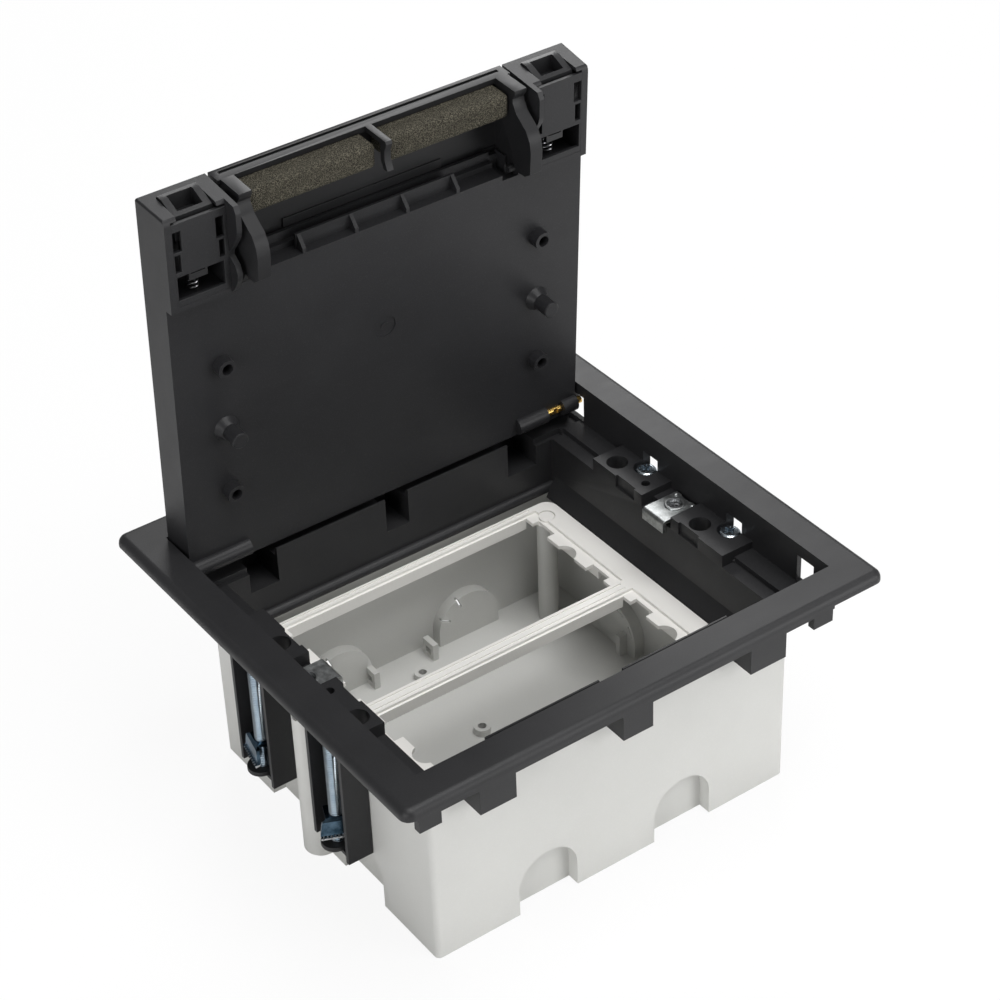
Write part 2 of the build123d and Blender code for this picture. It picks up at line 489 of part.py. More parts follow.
def latch_housing(side):
    """Hollow corner housing for one latch button, with an arched cheek towards the cable flap."""
    x0, x1 = side * HOUSING_X, side * (LID_X + 1)
    face, front = HOUSING_V + COVER_T, LID_FRONT
    shell = block(x0, x1, HOUSING_BACK, front, 0, face)
    nose = shell.edges().filter_by(Axis.X).sort_by(lambda e: e.center().Y + e.center().Z)[0]
    shell = fillet(nose, HOUSING_ROUND)
    cheek = [(front, 10.0), (front, 19.9), (front + 3.5, 21.9), (front + 8, 22.5), (front + 13, 21.4), (front + 18, 18.4),
             (front + 21, face), (front + 22.6, face), (front + 25, 19.4), (front + 28, 20.8), (front + 31, 20.2),
             (front + 35, 17.8), (front + 36.8, face), (front + 36.8, 10.0)]
    return shell + profile_x(cheek, x0, side * (HOUSING_X + CHEEK_T))


def housing_hollow(side):
    """Cavity of a latch housing, the seat of its cover and the mouth for the button."""
    wall_x, wall_back, wall_front = HOUSING_X + HOUSING_WALL, HOUSING_BACK - HOUSING_WALL, LID_FRONT + HOUSING_WALL
    cavity = block(side * (wall_x + COVER_SEAT), side * (HOUSING_END - COVER_SEAT), wall_back, wall_front, 2.4, HOUSING_V + 1)
    cavity += block(side * wall_x, side * HOUSING_END, wall_back, wall_front, HOUSING_V, HOUSING_V + COVER_T + 1)
    mouth = block(side * (BUTTON_X - BUTTON_HALF - GAP), side * (BUTTON_X + BUTTON_HALF + GAP), LID_FRONT - 1,
                  MOUTH_END, BUTTON_V[0] - GAP, HOUSING_V + COVER_T + 1)
    return cavity + mouth


def knuckles():
    """Half-round hinge knuckles on the inside of the panel's hinge end."""
    parts = None
    for x0, x1 in KNUCKLE_RIGHT + KNUCKLE_LEFT:
        barrel = rod_x(x0, x1, KNUCKLE_Y, KNUCKLE_V, KNUCKLE_R)
        parts = barrel if parts is None else parts + barrel
    return parts


def panel_bosses():
    """Hollow bosses and cone based pegs on the inside of the panel, in two rows."""
    add, cut = [], []
    for side in (-1, 1):
        x = side * BOSS_X
        for y in LID_BOSS_Y:
            add.append(post(x, y, PANEL_V - 1, PANEL_V + LID_BOSS_H, LID_BOSS_R))
            cut.append(post(x, y, PANEL_V - 1, PANEL_V + LID_BOSS_H + 1, 2.1))
        cone = Pos(x, PEG_Y, zv(PANEL_V + 1.2)) * Cone(PEG_R, LID_BOSS_R + 1.6, 3.4)
        add.append(cone)
        add.append(post(x, PEG_Y, PANEL_V, PANEL_V + PEG_L, PEG_R - 0.6))
    return add, cut


def rail():
    """Low rail on the outlet's edge with four gusset ribs."""
    wall = block(RAIL_X[0], RAIL_X[1], RAIL_Y, OUTLET_Y + 1, *RAIL_V)
    for x in RIB_X:
        rib = [(RAIL_Y, RAIL_V[1] - 0.5), (RAIL_Y, RAIL_V[1]), (-44.0, PANEL_V - 0.1), (OUTLET_Y + 1, PANEL_V - 0.1),
               (OUTLET_Y + 1, RAIL_V[1] - 0.5)]
        wall += profile_x(rib, x - 0.7, x + 0.7)
    return wall


def lid_panel():
    """Lid moulding: tray, latch housings, bosses, rail and hinge parts."""
    body = lid_tray() + latch_housing(-1) + latch_housing(1)
    body = body & lid_envelope()
    body = body - housing_hollow(-1) - housing_hollow(1)
    adds, cuts = panel_bosses()
    body += knuckles() & block(-LID_X, LID_X, 60, 80, PANEL_V - 6, PANEL_V + 8)
    for part in adds:
        body += part
    body += rail()
    for side in (-1, 1):
        body += rod_x(side * (LID_X - 3), side * (LID_X + STUD_L), HINGE_Y, HINGE_V, STUD_R)
        body -= block(side * SIDE_SLOT_X, side * HOUSING_X, SIDE_SLOT_Y, LID_FRONT - 2, -1, PANEL_V + 1)
        for x0, x1 in ((SIDE_SLOT_X - 1, WEB_X - GAP), (ARM_X[1] + GAP, HOUSING_X + 1)):
            body += block(side * x0, side * x1, FLAP_REAR + GAP, SIDE_SLOT_Y + 1, RIM_V, RIM_V + LIP_T)
        body -= rod_x(side * (HOUSING_X - 1), side * (HOUSING_X + HOUSING_WALL + 1), FLAP_PIVOT_Y, FLAP_PIVOT_V,
                      FLAP_STUD_R + RUN)
        body -= rod_x(side * PIN_SPRING_X, side * (LID_X + 2), KNUCKLE_Y, KNUCKLE_V, PIN_R + RUN)
    for cut in cuts:
        body -= cut
    gate = post(0, 1.0, PANEL_V - 0.4, PANEL_V + 1, 4.3) - post(0, 1.0, PANEL_V - 1, PANEL_V + 2, 1.6)
    return body - gate


def latch_cover(side):
    """Window plate over the latch housing."""
    x0, x1 = HOUSING_X + HOUSING_WALL, HOUSING_END
    y0, y1 = HOUSING_BACK - HOUSING_WALL, LID_FRONT + HOUSING_WALL
    plate = block(side * x0, side * x1, y0, y1, HOUSING_V, HOUSING_V + COVER_T)
    plate -= block(side * (x0 - 1), side * (x1 + 1), MOUTH_END, LID_FRONT - 1, HOUSING_V - 1, HOUSING_V + COVER_T + 1)
    windows = ((78.8, 81.9, -63.4, -71.2), (79.5, 81.7, -55.6, -62.3), (62.9, 65.9, -63.2, -71.2),
               (63.1, 65.1, -55.6, -62.3), (63.8, 81.4, -44.8, -53.9))
    for wx0, wx1, wy0, wy1 in windows:
        plate -= block(side * wx0, side * wx1, wy0, wy1, HOUSING_V - 1, HOUSING_V + COVER_T + 1)
    return plate


def latch_button(side):
    """Sliding latch button: a frame with a finger pocket, a stem and a clip at its tail."""
    x = side * BUTTON_X
    nose = [(BUTTON_TIP, BUTTON_V[0]), (BUTTON_TIP, BUTTON_SLOPE_V), (BUTTON_LOW, BUTTON_V[1]), (BUTTON_END, BUTTON_V[1]),
            (BUTTON_END, BUTTON_V[0])]
    head = profile_x(nose, x - BUTTON_HALF, x + BUTTON_HALF)
    head += block(x - SHOULDER_HALF, x + SHOULDER_HALF, *SHOULDER_Y, *SHOULDER_V)
    pocket = profile_x([(BUTTON_TIP - 1, BUTTON_V[0] + POCKET_WALL), (BUTTON_TIP + POCKET_D, BUTTON_V[0] + POCKET_WALL),
                        (BUTTON_TIP + POCKET_D - 3, BUTTON_V[1] - POCKET_WALL), (BUTTON_TIP - 1, BUTTON_V[1] - POCKET_WALL)],
                       x - POCKET_W, x + POCKET_W)
    stem = block(x - STEM_HALF, x + STEM_HALF, BUTTON_END - 1, STEM_END, *STEM_V)
    clip = block(x - CLIP_HALF, x + CLIP_HALF, STEM_END - 1.6, STEM_END + 4.0, STEM_V[1] - 1.6, STEM_V[1])
    clip -= block(x - CLIP_HALF + 0.8, x + CLIP_HALF - 0.8, STEM_END + 0.2, STEM_END + 1.6, 0, STEM_V[1] + 1)
    return head - pocket + stem + clip


def latch_spring(side):
    """Return spring of a latch button, drawn as a plain sleeve."""
    sleeve = rod_y(STEM_END, SPRING_END, side * BUTTON_X, 9.6, SPRING_R)
    return sleeve - rod_y(STEM_END + 1, SPRING_END - 1, side * BUTTON_X, 9.6, SPRING_R - SPRING_WIRE)


def hinge_pin(side):
    """Brass pin in the knuckle, with a round tip and a grip notch."""
    pin = rod_x(side * PIN_TAIL_X, side * PIN_TIP_X, KNUCKLE_Y, KNUCKLE_V, PIN_R)
    return pin - block(side * 74.0, side * 76.0, KNUCKLE_Y - 3, KNUCKLE_Y + 3, KNUCKLE_V + 0.9, KNUCKLE_V + 3)


def pin_spring(side):
    """Spring behind a hinge pin, drawn as a plain sleeve."""
    sleeve = rod_x(side * PIN_SPRING_X, side * PIN_TAIL_X, KNUCKLE_Y, KNUCKLE_V, PIN_R - 0.1)
    return sleeve - rod_x(side * (PIN_SPRING_X - 1), side * (PIN_TAIL_X + 1), KNUCKLE_Y, KNUCKLE_V, PIN_R - 0.6)


# cable flap, closed

def flap_arm(side):
    """Curved side arm of the flap on a thin web that ends in the pivot stud."""
    tip = FLAP_TIP
    outline = [(tip, 0), (tip, 17.4), (tip + 1.4, 17.4), (tip + 3.6, 16.0), (tip + 5.2, 16.2), (tip + 8.4, 18.4),
               (tip + 12.4, 24.0), (tip + 16.0, 26.2), (tip + 20.0, 26.9), (tip + 28.6, 26.5), (tip + 30.8, 23.6),
               (tip + 31.0, 20.0), (tip + 29.6, 17.6), (tip + 22.0, 14.6), (tip + 14.0, 9.0), (tip + 9.0, 0)]
    web = [(tip + 2, 0), (tip + 2, 14.0), (tip + 16.0, 21.0), (tip + 28.0, 19.5), (FLAP_PIVOT_Y + 2.0, FLAP_PIVOT_V + 2.4),
           (FLAP_PIVOT_Y + 2.8, FLAP_PIVOT_V), (FLAP_PIVOT_Y + 1.6, FLAP_PIVOT_V - 2.6), (FLAP_REAR, 5.0), (FLAP_REAR, 0)]
    arm = profile_x(outline, side * ARM_X[0], side * ARM_X[1]) + profile_x(web, side * WEB_X, side * ARM_X[1])
    return arm + rod_x(side * ARM_X[0], side * (HOUSING_X + 1.4), FLAP_PIVOT_Y, FLAP_PIVOT_V, FLAP_STUD_R)


def cable_flap():
    """Flap over the cable outlet: skin, end wall, middle hook rib and two arms."""
    skin = block(-FLAP_X, FLAP_X, FLAP_REAR, FLAP_TIP, 0, FLAP_SKIN)
    wall = block(-FLAP_X, FLAP_X, FLAP_TIP, FLAP_TIP + 2.0, 0, END_WALL_V)
    hook = [(FLAP_TIP, 3.0), (FLAP_TIP, 18.4), (FLAP_TIP + 1.2, 18.8), (FLAP_TIP + 4.0, 17.6), (FLAP_TIP + 7.6, 17.6),
            (FLAP_TIP + 11.2, 19.2), (FLAP_TIP + 11.4, 17.0), (FLAP_TIP + 8.6, 15.3), (FLAP_TIP + 2.0, 15.3),
            (FLAP_TIP + 2.0, 4.0)]
    x0, x1, y0, y1, rise = PLATE_BAR
    flap = skin + wall + profile_x(hook, *MID_RIB_X) + block(x0, x1, y0, y1, FLAP_SKIN, FLAP_SKIN + rise)
    for side in (-1, 1):
        flap += flap_arm(side)
    return flap


def foam_strip(side):
    """One foam bar between the middle rib and an arm."""
    x0, x1 = MID_RIB_X[1] * side + side * 0.4, side * (ARM_X[0] - 0.2)
    return block(x0, x1, FOAM_Y[0], FOAM_Y[1], *FOAM_V)


def opened(shape):
    """Turn a lid part from the closed to the open position about the hinge line."""
    axis = Axis((0, HINGE_Y, zv(HINGE_V)), (1, 0, 0))
    return shape.rotate(axis, -OPEN_ANGLE)


def nodes():
    """Every node with its solids, in assembly order."""
    parts = {"box_shell": box_shell(), "module_frame": module_frame(), "module_screws": module_screws(),
             "floor_frame": floor_frame(), "screw_feet": screw_feet()}
    for name, side in (("left", -1), ("right", 1)):
        parts[f"bracket_{name}"] = bracket(side)
        parts[f"bracket_screw_{name}"] = bracket_screw(side)
        parts[f"column_nut_{name}"] = column_nut(side)
    for name, (side, y, _) in TOWERS.items():
        parts[f"claw_screw_{name}"] = claw_screw(side, y)
        parts[f"claw_{name}"] = claw(side, y)
    parts["lid_panel"] = opened(lid_panel())
    parts["cable_flap"] = opened(cable_flap())
    for name, side in (("left", -1), ("right", 1)):
        parts[f"latch_cover_{name}"] = opened(latch_cover(side))
        parts[f"latch_button_{name}"] = opened(latch_button(side))
        parts[f"latch_spring_{name}"] = opened(latch_spring(side))
        parts[f"hinge_pin_{name}"] = opened(hinge_pin(side))
        parts[f"pin_spring_{name}"] = opened(pin_spring(side))
        parts[f"foam_strip_{name}"] = opened(foam_strip(side))
    return parts


def main():
    os.makedirs("parts", exist_ok=True)
    for name, shape in nodes().items():
        solid = Compound(children=[s.solids()[0] for s in shape]) if isinstance(shape, list) else shape
        export_step(solid, f"parts/{name}.step")


if __name__ == "__main__":
    main()
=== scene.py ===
"""Studio scene of a flush floor socket box with an open lid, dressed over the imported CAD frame."""

import logging
import math
from collections.abc import Callable, Iterator
from contextlib import contextmanager
from dataclasses import dataclass, field
from enum import Enum

import bpy
from mathutils import Euler, Matrix, Vector

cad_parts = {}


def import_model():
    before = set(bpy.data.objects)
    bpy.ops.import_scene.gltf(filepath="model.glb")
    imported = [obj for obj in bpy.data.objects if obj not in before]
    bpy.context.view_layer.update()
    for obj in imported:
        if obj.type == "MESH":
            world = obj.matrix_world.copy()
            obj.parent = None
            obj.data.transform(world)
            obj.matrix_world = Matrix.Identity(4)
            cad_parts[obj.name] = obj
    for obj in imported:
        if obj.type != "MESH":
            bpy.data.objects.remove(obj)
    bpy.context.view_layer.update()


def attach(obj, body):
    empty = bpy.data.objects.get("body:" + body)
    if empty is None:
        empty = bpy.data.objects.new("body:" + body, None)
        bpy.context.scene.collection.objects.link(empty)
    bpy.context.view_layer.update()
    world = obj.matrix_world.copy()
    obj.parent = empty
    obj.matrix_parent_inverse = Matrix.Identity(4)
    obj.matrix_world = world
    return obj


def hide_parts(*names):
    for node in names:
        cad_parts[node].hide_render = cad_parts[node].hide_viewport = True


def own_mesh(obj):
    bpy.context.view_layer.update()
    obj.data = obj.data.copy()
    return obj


LOG = logging.getLogger("floor_box")
MM = 0.001
PER_M = 1000.0
NEAR = 0.1  # millimetres within which a corner counts as lying on a plane
TOP_Z = 97.0  # top of the rim in millimetres; every depth called v is measured down from it
MIX_MASK, MIX_FIRST, MIX_SECOND, MIX_RESULT = 0, 6, 7, 2  # sockets of a Mix node that mixes colours
Triple = tuple[float, float, float]
Colour = Triple
Span = tuple[float, float]
Piece = bpy.types.Object
Material = bpy.types.Material


class Named(Enum):
    """Places that the CAD nodes name in lower case."""

    @property
    def word(self) -> str:
        """The place's part of a node name."""
        return self.name.lower()


class Side(Named):
    """Which half of the box a paired piece belongs to."""

    LEFT = -1
    RIGHT = 1

    def out(self, distance: float) -> float:
        """The x that lies this far out from the middle."""
        return self.value * distance


class Corner(Named):
    """Claw tower positions: side, then the claw screw's y in millimetres."""

    LEFT_FRONT = (-1, -21.0)
    LEFT_BACK = (-1, 27.5)
    RIGHT_FRONT = (1, -27.5)
    RIGHT_BACK = (1, 21.0)


def radians(turn: Triple) -> list[float]:
    """Degrees to radians, axis by axis."""
    return [math.radians(angle) for angle in turn]


def shade(tone: Colour, share: float, lift: float = 0.0) -> Colour:
    """A tone times a share plus a lift, up to white."""
    return tuple(min(1.0, level * share + lift) for level in tone)


# shader toolkit


class Wire:
    """A shader socket that takes part in arithmetic."""

    def __init__(self, sheet: "Sheet", socket: bpy.types.NodeSocket) -> None:
        """Keep the socket and the node sheet it lives on."""
        self.sheet, self.socket = sheet, socket

    def _maths(self, operation: str, first: object, second: object) -> "Wire":
        """Add one Math node.

        Args:
            operation: Blender's name of the sum.
            first: wire or number on the first input.
            second: wire or number on the second input.

        Returns:
            The node's result.
        """
        return self.sheet.add("ShaderNodeMath", {"operation": operation}, {0: first, 1: second})

    def __add__(self, other: object) -> "Wire":
        """Sum."""
        return self._maths("ADD", self, other)

    __radd__ = __add__

    def __sub__(self, other: object) -> "Wire":
        """Difference."""
        return self._maths("SUBTRACT", self, other)

    def __rsub__(self, other: object) -> "Wire":
        """Difference with the number first."""
        return self._maths("SUBTRACT", other, self)

    def __mul__(self, other: object) -> "Wire":
        """Product."""
        return self._maths("MULTIPLY", self, other)

    __rmul__ = __mul__


class Sheet:
    """Node sheet of one material, with short calls for the nodes that the finishes share."""

    def __init__(self, name: str) -> None:
        """Start a material with a principled shader."""
        self.material = bpy.data.materials.new(name)
        self.material.use_nodes = True
        self.tree = self.material.node_tree
        self.shader = self.tree.nodes["Principled BSDF"]
        self._place: Wire | None = None

    def _feed(self, socket: bpy.types.NodeSocket, value: object) -> None:
        """Link a wire to a socket, or set the socket's plain value."""
        if isinstance(value, Wire):
            self.tree.links.new(value.socket, socket)
        else:
            socket.default_value = value

    def add(self, kind: str, settings: dict[str, object], values: dict[object, object],
            out: object = 0) -> Wire:
        """Add any node.

        Args:
            kind: Blender's node type.
            settings: properties that are set first, with ramp stops under "stops".
            values: socket name or index to a wire or a plain value.
            out: output socket's name or index.

        Returns:
            The chosen output as a wire.
        """
        node = self.tree.nodes.new(kind)
        for key, value in settings.items():
            if key == "stops":
                self._set_stops(node.color_ramp, value)
            else:
                setattr(node, key, value)
        for key, value in values.items():
            self._feed(node.inputs[key], value)
        return Wire(self, node.outputs[out])

    @staticmethod
    def _set_stops(ramp: bpy.types.ColorRamp, stops: list[Span]) -> None:
        """Give a ramp its grey stops as (position, level)."""
        while len(ramp.elements) < len(stops):
            ramp.elements.new(0.5)
        for element, (position, level) in zip(ramp.elements, stops):
            element.position = position
            element.color = (level, level, level, 1.0)

    @staticmethod
    def _rgba(value: object) -> object:
        """A colour with its alpha, anything else as it is."""
        return (*value, 1.0) if isinstance(value, tuple) else value

    @property
    def place(self) -> Wire:
        """Object coordinates."""
        if self._place is None:
            self._place = self.add("ShaderNodeTexCoord", {}, {}, "Object")
        return self._place

    def stretched(self, scale: Triple) -> Wire:
        """Object coordinates stretched along the axes."""
        return self.add("ShaderNodeMapping", {}, {"Vector": self.place, "Scale": scale})

    def noise(self, size_mm: float, detail: float, rough: float, along: Wire | None = None) -> Wire:
        """Noise whose blotches are about size_mm across.

        Args:
            size_mm: blotch size.
            detail: octaves.
            rough: weight of the fine octaves.
            along: coordinates, or the object's own.

        Returns:
            Value around 0.5.
        """
        values = {"Vector": along or self.place, "Scale": PER_M / size_mm, "Detail": detail,
                  "Roughness": rough}
        return self.add("ShaderNodeTexNoise", {}, values)

    def ramp(self, value: Wire, stops: list[Span]) -> Wire:
        """Grey ramp through the stops."""
        return self.add("ShaderNodeValToRGB", {"stops": stops}, {"Fac": value})

    def blend(self, mask: Wire, first: object, second: object) -> Wire:
        """Mix two colours by a mask."""
        values = {MIX_MASK: mask, MIX_FIRST: self._rgba(first), MIX_SECOND: self._rgba(second)}
        return self.add("ShaderNodeMix", {"data_type": "RGBA"}, values, MIX_RESULT)

    def bump(self, height: Wire, depth_mm: float, strength: float, under: Wire | None = None) -> Wire:
        """Relief of the given depth, over another relief if there is one."""
        values: dict[object, object] = {"Height": height, "Distance": depth_mm * MM, "Strength": strength}
        if under is not None:
            values["Normal"] = under
        return self.add("ShaderNodeBump", {}, values)

    def set(self, **sockets: object) -> None:
        """Set or link the principled shader's sockets, with underscores for spaces."""
        for key, value in sockets.items():
            self._feed(self.shader.inputs[key.replace("_", " ")], self._rgba(value))


# finishes


@dataclass(frozen=True)
class MouldedPlastic:
    """Injection moulded plastic: cloudy tone, spark eroded grain, faint flow marks, dust and painted glints."""

    name: str
    tone: Colour
    rough: float
    grain_mm: float
    grain_depth_mm: float
    cloud: float
    dust: float
    # share of painted glints: bright specks that stand in for highlights on the grain
    painted_glint: float
    specular: float = 0.5
    cloud_mm: float = 38.0
    speck_mm: float = 1.1
    streak_mm: float = 9.0
    streak_stretch: Triple = (0.35, 1.0, 0.5)
    sway_mm: float = 14.0
    sway_depth_mm: float = 0.05

    def make(self) -> Material:
        """Build the material."""
        s = Sheet(self.name)
        cloud = s.noise(self.cloud_mm, 4.0, 0.6)
        fine = s.noise(self.grain_mm, 3.0, 0.62)
        deep, pale = shade(self.tone, 1 - self.cloud), shade(self.tone, 1 + self.cloud, 0.002)
        base = s.blend(s.ramp(cloud, [(0.32, 0.0), (0.7, 1.0)]), deep, pale)
        specks = s.ramp(s.noise(self.speck_mm, 2.0, 0.7), [(0.73, 0.0), (0.8, 1.0)])
        base = s.blend(specks * (self.dust * 14.0), base, shade(self.tone, 1.0, self.dust * 4))
        # painted highlight: small bright specks lighten the colour where the grain would catch the lamps
        painted_glint_mask = s.ramp(s.noise(self.grain_mm * 0.7, 1.0, 0.5), [(0.56, 0.0), (0.7, 1.0)])
        base = s.blend(painted_glint_mask * self.painted_glint, base, shade(self.tone, 1.8, 0.01))
        streak = s.noise(self.streak_mm, 3.0, 0.6, s.stretched(self.streak_stretch))
        rough = self.rough - 0.06 + streak * 0.10 + fine * 0.04
        relief = s.bump(s.noise(self.sway_mm, 2.0, 0.5), self.sway_depth_mm, 0.25)
        s.set(Base_Color=base, Roughness=rough, Specular_IOR_Level=self.specular,
              Normal=s.bump(fine, self.grain_depth_mm, 0.8, relief))
        return s.material


@dataclass(frozen=True)
class ZincPlate:
    """Zinc plated steel with drawn lines, cloudy spots and dull stains."""

    name: str
    tone: Colour
    tint: Colour
    rough: float = 0.3
    line_stretch: Triple = (1.0, 1.0, 0.15)
    mottle: float = 0.6
    relief: float = 1.0
    spot_mm: float = 2.6
    line_mm: float = 0.5
    stain_mm: float = 0.9

    def make(self) -> Material:
        """Build the material."""
        s = Sheet(self.name)
        spots = s.noise(self.spot_mm, 5.0, 0.65)
        lines = s.noise(self.line_mm, 3.0, 0.6, s.stretched(self.line_stretch))
        base = s.blend(s.ramp(spots, [(0.35, 0.0), (0.66, 1.0)]), self.tone, self.tint)
        stains = s.ramp(s.noise(self.stain_mm, 4.0, 0.7), [(0.62, 0.0), (0.75, self.mottle)])
        base = s.blend(stains, base, shade(self.tone, 0.55))
        rough = self.rough + spots * (0.3 * self.mottle) + lines * 0.06 - 0.1
        s.set(Base_Color=base, Metallic=1.0, Roughness=rough,
              Normal=s.bump(lines, 0.02 * self.relief, 0.5, s.bump(spots, 0.03 * self.relief, 0.35)))
        return s.material


@dataclass(frozen=True)
class ClawSteel:
    """Dark blue passivated sheet whose toothed lip is cut bright."""

    name: str = "claw_blue"
    deep: Colour = (0.02, 0.04, 0.06)
    pale: Colour = (0.12, 0.19, 0.26)
    edge: Colour = (0.86, 0.88, 0.89)
    edge_z_mm: float = 30.9
    cloud_mm: float = 5.0
    line_mm: float = 0.6
    line_stretch: Triple = (1.0, 1.0, 0.2)

    def make(self) -> Material:
        """Build the material."""
        s = Sheet(self.name)
        cloud = s.noise(self.cloud_mm, 3.0, 0.55)
        lines = s.noise(self.line_mm, 3.0, 0.6, s.stretched(self.line_stretch))
        height = s.add("ShaderNodeSeparateXYZ", {}, {0: s.place}, "Z")
        low = s.ramp((self.edge_z_mm * MM - height) * PER_M, [(0.0, 0.0), (0.2, 1.0)])
        base = s.blend(s.ramp(cloud, [(0.35, 0.0), (0.68, 1.0)]), self.deep, self.pale)
        s.set(Base_Color=s.blend(low, base, self.edge), Metallic=1.0,
              Roughness=0.2 + lines * 0.1 + low * 0.12, Normal=s.bump(lines, 0.01, 0.4))
        return s.material


@dataclass(frozen=True)
class TurnedBrass:
    """Turned brass with fine tool rings."""

    name: str = "turned_brass"
    tone: Colour = (0.72, 0.47, 0.14)
    ring_mm: float = 0.25
    ring_stretch: Triple = (3.0, 0.2, 0.2)
    stain_mm: float = 3.0

    def make(self) -> Material:
        """Build the material."""
        s = Sheet(self.name)
        rings = s.noise(self.ring_mm, 2.0, 0.5, s.stretched(self.ring_stretch))
        stain = s.noise(self.stain_mm, 4.0, 0.6)
        base = s.blend(stain, shade(self.tone, 0.72), self.tone)
        s.set(Base_Color=base, Metallic=1.0, Roughness=0.2 + stain * 0.15, Normal=s.bump(rings, 0.02, 0.5))
        return s.material


@dataclass(frozen=True)
class OpenFoam:
    """Open cell foam: pale struts, with painted shade making the pores between them dark brown grey."""

    name: str = "open_foam"
    # painted shade: colour of the pores' depths
    pore_shade: Colour = (0.006, 0.0055, 0.0045)
    pale: Colour = (0.135, 0.124, 0.094)
    cell_mm: float = 0.42
    grit_mm: float = 0.3
    cloud_mm: float = 7.0
    depth_mm: float = 0.3

    def make(self) -> Material:
        """Build the material."""
        s = Sheet(self.name)
        values = {"Vector": s.place, "Scale": PER_M / self.cell_mm, "Randomness": 1.0}
        cells = s.add("ShaderNodeTexVoronoi", {"feature": "F1"}, values, "Distance")
        grit = s.noise(self.grit_mm, 3.0, 0.7)
        cloud = s.noise(self.cloud_mm, 3.0, 0.5)
        # painted shade: near black in the low pits of the cells and pale on the struts; the same mask is the bump
        mask = s.ramp(cells * 0.45 + grit * 0.7, [(0.45, 0.0), (0.74, 1.0)])
        base = s.blend(mask, self.pore_shade, self.pale)
        base = s.blend(s.ramp(cloud, [(0.3, 0.0), (0.75, 0.35)]), base, shade(self.pale, 0.45))
        s.set(Base_Color=base, Roughness=0.95, Specular_IOR_Level=0.15, Normal=s.bump(mask, self.depth_mm, 0.8))
        return s.material


class Finishes:
    """The finishes of the box, made once each."""

    def __init__(self) -> None:
        """Build every material."""
        self.frame_black = MouldedPlastic(
            "frame_black", (0.0165, 0.0165, 0.0178), rough=0.46, grain_mm=0.45, grain_depth_mm=0.03,
            cloud=0.10, dust=0.002, painted_glint=0.4, specular=0.36).make()
        self.lid_black = MouldedPlastic(
            "lid_black", (0.0138, 0.0138, 0.0152), rough=0.42, grain_mm=0.5, grain_depth_mm=0.024,
            cloud=0.10, dust=0.003, painted_glint=0.45, specular=0.3).make()
        self.latch_black = MouldedPlastic(
            "latch_black", (0.014, 0.014, 0.0152), rough=0.36, grain_mm=0.6, grain_depth_mm=0.012,
            cloud=0.10, dust=0.002, painted_glint=0.15, specular=0.4).make()
        # painted shade: the cable flap gets a darker copy of the lid's black so that it reads shaded; its finer
        # grain and fewer specks are its own finish
        self.flap_black_shaded = MouldedPlastic(
            "flap_black_shaded", (0.010, 0.010, 0.011), rough=0.44, grain_mm=0.6, grain_depth_mm=0.006,
            cloud=0.10, dust=0.001, painted_glint=0.1, specular=0.3).make()
        self.box_grey = MouldedPlastic(
            "box_grey", (0.61, 0.61, 0.588), rough=0.42, grain_mm=0.7, grain_depth_mm=0.012,
            cloud=0.02, dust=0.0, painted_glint=0.04).make()
        self.frame_white = MouldedPlastic(
            "frame_white", (0.88, 0.865, 0.83), rough=0.38, grain_mm=0.7, grain_depth_mm=0.008,
            cloud=0.015, dust=0.0, painted_glint=0.03).make()
        self.zinc = ZincPlate("zinc_sheet", (0.32, 0.33, 0.33), (0.60, 0.62, 0.62), rough=0.38).make()
        self.zinc_blue = ZincPlate(
            "zinc_blue", (0.58, 0.66, 0.73), (0.74, 0.81, 0.86), rough=0.27, line_stretch=(0.15, 1.0, 1.0),
            mottle=0.2, relief=0.4).make()
        self.claw = ClawSteel().make()
        self.wire = ZincPlate("spring_wire", (0.40, 0.40, 0.41), (0.52, 0.52, 0.54)).make()
        self.brass = TurnedBrass().make()
        self.foam = OpenFoam().make()


# modelling bench


